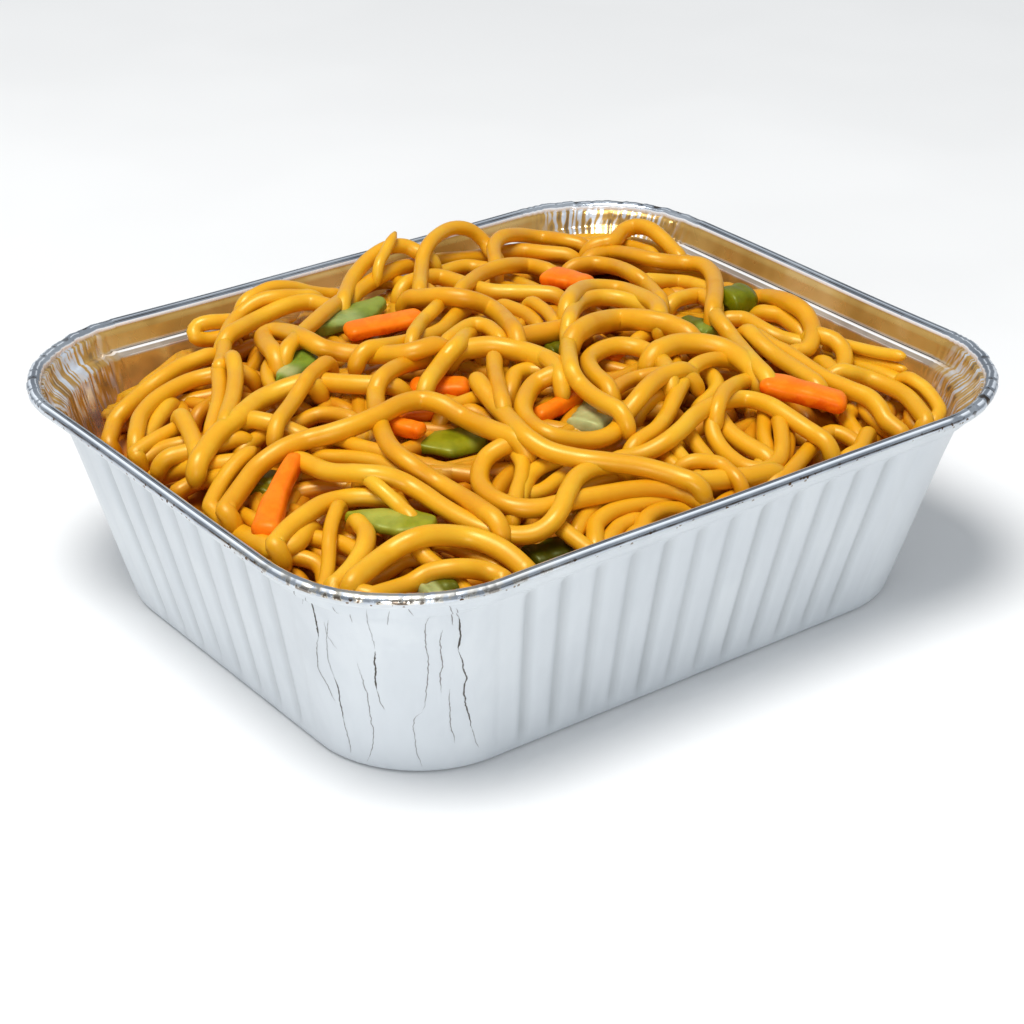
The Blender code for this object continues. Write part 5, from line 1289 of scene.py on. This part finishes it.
def sweep(paths, seed, sides):
    pick = np.random.default_rng(seed)
    points, faces, tints = [], [], []
    for path, radius in paths:
        count, start = len(path), len(points)
        tangent = np.gradient(path, axis=0)
        tangent /= np.linalg.norm(tangent, axis=1)[:, None] + 1e-9
        side = np.cross(tangent[0], (0.0, 0.0, 1.0))
        tone, slow = pick.uniform(0, 1), smooth_line(pick.uniform(-1, 1, count), 4.0)
        oval, spin = pick.uniform(0.0, 0.07), pick.uniform(0, math.pi)
        ang = 2 * math.pi * np.arange(sides) / sides
        for k in range(count):
            side = side - np.dot(side, tangent[k]) * tangent[k]
            side /= np.linalg.norm(side) + 1e-9
            up = np.cross(side, tangent[k])
            draw_in = TIP[min(k, count - 1 - k, 3)]
            size = SLIM * radius * draw_in * (1 + 0.05 * slow[k] + oval * np.cos(2 * (ang + spin)))
            ring = path[k] + (size * np.cos(ang))[:, None] * side + (size * np.sin(ang))[:, None] * up
            points += ring.tolist()
            # painted shade on the side of each strand that faces down
            underside_shade = np.clip(0.45 - 0.55 * (np.cos(ang) * side[2] + np.sin(ang) * up[2]), 0, 1)
            # painted shade: darker the deeper a point lies below the crown
            deep = np.clip((crown(ring[:, 0], ring[:, 1]) + 0.8 - ring[:, 2]) / 6.5 + 0.35 * underside_shade, 0, 1)
            tints += [(tone, d, 0.5 + 0.5 * slow[k], 1.0) for d in deep]
        faces += ring_faces(count, sides, start) + ring_caps(count, sides, start)
    return points, faces, tints


print("sides a strand:", SIDES, "and", FILLER_SIDES)

# %% [markdown]
# ## Noodle finish
#
# Cooked egg noodles are smooth, oily and a little translucent.  The base is
# golden yellow; painted shade turns the deep ones and the undersides of strands
# orange brown.  A raised, warm specular level stands for the oil film, and some
# scattering softens the shade.

# %% Noodle material
def noodle_material():
    mat, tree, shader = new_material("egg_noodle", Specular_IOR_Level=0.75, Specular_Tint=(1.0, 0.86, 0.5, 1),
                                     Subsurface_Weight=0.2, Subsurface_Scale=0.0012,
                                     Subsurface_Radius=(1.0, 0.45, 0.12))
    own, deep, slow = channels(tree, "tint")
    tone = maths(tree, "ADD", times(tree, own, 0.4), times(tree, mottle(tree, 110.0), 0.35))
    tone = maths(tree, "ADD", tone, times(tree, slow, 0.25))
    colour = tones(tree, tone, (0.67, 0.275, 0.003), (0.74, 0.355, 0.007), (0.79, 0.45, 0.019))
    # painted shade: deep in the pile and on the undersides the colour turns orange brown
    shaded_deep = blend_colours(tree, span(tree, deep, 0.14, 1.0), colour, (0.54, 0.165, 0.002, 1))
    dress(tree, shader, shaded_deep, mottle(tree, 260.0, 0.32, 0.44), (420.0, 0.25, 0.00008))
    return mat


noodle = noodle_material()
for name, paths, seed, sides in (("noodle_filler", filler_paths, 21, FILLER_SIDES),
                                 ("noodle_low", low_paths, 22, SIDES), ("noodle_top", high_paths, 23, SIDES)):
    points, faces, tints = sweep(paths, seed, sides)
    obj = make_piece(name, points, faces, [noodle], node="noodles")
    paint_points(obj, "tint", tints)
    print(name, len(paths), "strands,", len(faces), "faces")

# %% [markdown]
# ## The bed
#
# Under the fillers a plain bed closes the tray, like the imported mass of noodles
# that no one sees between the strands.  Painted in the full shade colour of the
# noodles, it keeps the gaps dark orange brown.

# %% Bed
BED_AROUND, BED_RINGS = 96, 22
BED_HALF, BED_LEVEL = (80, 72), 29.0
BED_DROP, BED_TOP = 6.2, 33.0


def build_bed():
    points = []
    for scale in np.linspace(1.0, 0.04, BED_RINGS):
        for i in range(BED_AROUND):
            ang = 2 * math.pi * i / BED_AROUND
            edge = np.array((BED_HALF[0] * math.cos(ang), BED_HALF[1] * math.sin(ang), BED_LEVEL))
            p = keep_inside(edge, 0.5)
            x, y = p[0] * scale, p[1] * scale
            points.append((x, y, min(float(crown(x, y)) - BED_DROP, BED_TOP)))
    faces = ring_faces(BED_RINGS, BED_AROUND) + ring_caps(BED_RINGS, BED_AROUND)[1:]
    obj = make_piece("noodle_bed", points, faces, [noodle], node="noodles")
    # green 1.0: the full painted shade of a strand deep in the pile
    paint_points(obj, "tint", [(0.3, 1.0, 0.3, 1.0)] * len(points))
    return obj


bed = build_bed()
print("bed:", len(bed.data.polygons), "faces")

# %% [markdown]
# ## Cut vegetables
#
# Each piece is lofted along its line from rounded square sections: broad in the
# middle, drawn in at the ends, slightly bent and uneven, as a knife and a wok
# leave them.  Some greens are leaf shaped and run out to a point.  The tint
# stores a tone, how far a point faces up (which the materials paint lighter, as
# painted light on the tops) and its place along the piece; greens also carry a
# colour of their own, with paler flesh where the cut shows.

# %% Vegetable meshes
ROWS, AROUND, LEAF_FOOT, CUT_EDGE = 34, 40, 0.22, 0.12
PALE_FLESH, GREEN_FLESH = (0.34, 0.36, 0.13), (0.26, 0.30, 0.05)
GREENS = {   # skin colour, flesh colour, and the stretch (0 to 1) where the flesh shows
    "green_1": ((0.19, 0.24, 0.03), (0.25, 0.31, 0.085), 0.1, 0.6),
    "green_2": ((0.16, 0.23, 0.02), PALE_FLESH, 0.05, 0.45),
    "green_3": ((0.20, 0.20, 0.004), GREEN_FLESH, 0.75, 0.9),
    "green_4": ((0.20, 0.27, 0.03), (0.42, 0.42, 0.17), -0.2, 0.75),
    "green_5": ((0.10, 0.10, 0.002), GREEN_FLESH, 2, 3),
    "green_6": ((0.10, 0.10, 0.002), (0.18, 0.23, 0.02), 0.5, 1.2),
    "green_7": ((0.13, 0.14, 0.001), GREEN_FLESH, 2, 3),
    "green_8": ((0.25, 0.25, 0.008), (0.30, 0.31, 0.04), 0.1, 0.7),
    "green_9": ((0.05, 0.048, 0.001), GREEN_FLESH, 2, 3),
    "green_10": ((0.10, 0.10, 0.004), PALE_FLESH, -0.2, 0.5),
    "green_11": ((0.16, 0.14, 0.002), GREEN_FLESH, 2, 3),
}


def loft(piece, pick, green):
    """Points and tints of the rounded sections along one piece."""
    name, a, b, broad_a, broad_b, thick = piece
    length = float(np.linalg.norm(b - a))
    axis = (b - a) / length
    side = np.cross(axis, (0.0, 0.0, 1.0))
    side /= np.linalg.norm(side)
    up = np.cross(side, axis)
    bend, twist = pick.normal(0, 0.03) * length, pick.normal(0, 0.12)
    waves = [(pick.uniform(1, 4), pick.uniform(0, 6.3), pick.uniform(0, 6.3), int(pick.integers(1, 4)))
             for _ in range(5)]
    ang = 2 * math.pi * np.arange(AROUND) / AROUND
    power, rough_form, tip, curl = (0.56, 0.030, 0.32, 0.35) if green else (0.76, 0.015, 0.5, 0.0)
    cs = np.sign(np.cos(ang)) * np.abs(np.cos(ang)) ** power
    sn = np.sign(np.sin(ang)) * np.abs(np.sin(ang)) ** power
    points, tints = [], []
    for r in range(ROWS):
        s = 0.5 - 0.5 * math.cos(math.pi * r / (ROWS - 1))
        end = min(s, 1 - s) * length / (tip * thick)
        shrink = math.sqrt(max(1 - (1 - min(end, 1.0)) ** 2, 0.02))
        broad = (broad_a + (broad_b - broad_a) * s) / 2
        if name in POINTED:
            off = min(abs(2 * s - 1.1), 1.0)
            broad *= LEAF_FOOT + 0.84 * (1 - off ** 2.2)
        uneven = sum(rough_form * math.sin(f * 2 * math.pi * s + p) for f, p, q, m in waves)
        wob = 1 + uneven + sum(rough_form * np.sin(m * ang + q + f * s * 3) for f, p, q, m in waves)
        ca, sa = math.cos(twist * (s - 0.5)), math.sin(twist * (s - 0.5))
        px = broad * cs * (0.35 + 0.65 * shrink) * wob
        py = thick / 2 * sn * shrink * wob * 1.04 - curl * (cs ** 2 - 0.5)
        px, py = px * ca - py * sa, px * sa + py * ca
        centre = a + axis * (length * s) + side * (bend * (1 - (2 * s - 1) ** 2))
        points += (centre + px[:, None] * side + py[:, None] * up).tolist()
        tone = pick.uniform(0.0, 0.2)
        # how far a point faces up, which the materials turn into painted light on the tops
        tints += [(tone, float(np.clip(v, 0, 1)), s, 1.0) for v in (sn + 0.2) / 1.2]
    return points, tints


def build_vegetable(piece, material, seed):
    name, green = piece[0], piece[0].startswith("green")
    points, tints = loft(piece, np.random.default_rng(seed), green)
    faces = ring_faces(ROWS, AROUND, turned=True) + ring_caps(ROWS, AROUND, turned=True)
    obj = make_piece(name + "_cut", points, faces, [material], node=name)
    paint_points(obj, "tint", tints)
    if green:
        skin, flesh, pale_from, pale_to = GREENS[name]
        up, s = np.array(tints)[:, 1], np.array(tints)[:, 2]
        share = np.clip((s - pale_from) / CUT_EDGE, 0, 1) * np.clip((pale_to - s) / CUT_EDGE, 0, 1) * up
        colours = np.array(skin) * (1 - share[:, None]) + np.array(flesh) * share[:, None]
        paint_points(obj, "skin", np.column_stack((colours, share)))


print("greens with a colour of their own:", len(GREENS))

# %% [markdown]
# ## Carrot and green finishes
#
# Carrot is a clear bright orange with faint darker streaks along the root and a
# wet gloss.  The green pieces are olive where the skin shows, with paler streaks
# and a lighter cut face.  Both are painted paler where they face up: painted
# light on their tops.

# %% Vegetable materials
WET = 0.36


def carrot_material():
    mat, tree, shader = new_material("carrot_flesh", Specular_IOR_Level=0.4,
                                     Specular_Tint=(1.0, 0.62, 0.3, 1), Subsurface_Weight=0.15,
                                     Subsurface_Scale=0.001, Subsurface_Radius=(1.0, 0.35, 0.08))
    # painted light: the parts facing up are painted paler
    painted_top_light = channels(tree, "tint")[1]
    tone = maths(tree, "ADD", mottle(tree, 420.0, high=0.5), times(tree, painted_top_light, 0.5))
    colour = tones(tree, tone, (0.76, 0.10, 0.002), (0.90, 0.18, 0.003), (0.90, 0.22, 0.006))
    dress(tree, shader, colour, WET, (650.0, 0.35, 0.0001))
    return mat


def green_material():
    mat, tree, shader = new_material("green_bean", Specular_IOR_Level=0.4, Specular_Tint=(0.85, 1.0, 0.5, 1),
                                     Subsurface_Weight=0.1, Subsurface_Scale=0.0008)
    # painted light: the parts facing up are painted paler
    painted_top_light = channels(tree, "tint")[1]
    skin = put(tree, "ShaderNodeAttribute", {"attribute_name": "skin"}).outputs["Color"]
    tone = maths(tree, "ADD", times(tree, mottle(tree, 300.0), 0.7), times(tree, painted_top_light, 0.3))
    shade = tones(tree, tone, (0.68, 0.70, 0.6), (1.0, 1.0, 1.0), (1.25, 1.2, 1.3))
    dress(tree, shader, blend_colours(tree, 1.0, skin, shade, "MULTIPLY"), WET, (600.0, 0.35, 0.0001))
    return mat


carrot, green = carrot_material(), green_material()
for seed, piece in enumerate(piece_frames, start=40):
    build_vegetable(piece, green if piece[0].startswith("green") else carrot, seed)
print("vegetables cut:", len(piece_frames))

# %% [markdown]
# ## Floor and light
#
# A plain pale floor and soft studio light: a wide disc overhead, whose reflection
# draws long soft highlights on the noodles, a weaker one from the front, and an
# even sky that fills the shade.

# %% Floor, lights, sky
FLOOR_HALF = 3.0
AIM = (0, 0, 0.03)
SKY_COLOUR, SKY_STRENGTH = (0.90, 0.95, 1.0, 1), 0.42


def build_floor():
    mesh = bpy.data.meshes.new("floor")
    corners = [(x * FLOOR_HALF, y * FLOOR_HALF, 0) for x, y in ((-1, -1), (1, -1), (1, 1), (-1, 1))]
    mesh.from_pydata(corners, [], [(0, 1, 2, 3)])
    mat, tree, shader = new_material("pale_floor")
    dress(tree, shader, tones(tree, mottle(tree, 6.0), (0.86,) * 3, (0.88,) * 3, (0.90,) * 3), 0.75)
    mesh.materials.append(mat)
    obj = link_object("floor", mesh)


def area_light(name, place, size, power, colour):
    data = bpy.data.lights.new(name, "AREA")
    data.shape, data.size, data.energy, data.color = "DISK", size, power, colour
    lamp = link_object(name, data)
    lamp.location = place
    lamp.rotation_euler = (Vector(AIM) - Vector(place)).to_track_quat("-Z", "Y").to_euler()


build_floor()
area_light("overhead", (-0.30, -0.10, 1.00), 0.50, 10.0, (1.0, 0.99, 0.97))
area_light("front", (-0.78, -0.92, 0.30), 0.5, 3.4, (0.97, 0.985, 1.0))
world = bpy.data.worlds.new("studio")
world.use_nodes = True
sky = world.node_tree.nodes["Background"]
sky.inputs[0].default_value, sky.inputs[1].default_value = SKY_COLOUR, SKY_STRENGTH
bpy.context.scene.world = world
bpy.context.scene.view_settings.view_transform = "Standard"
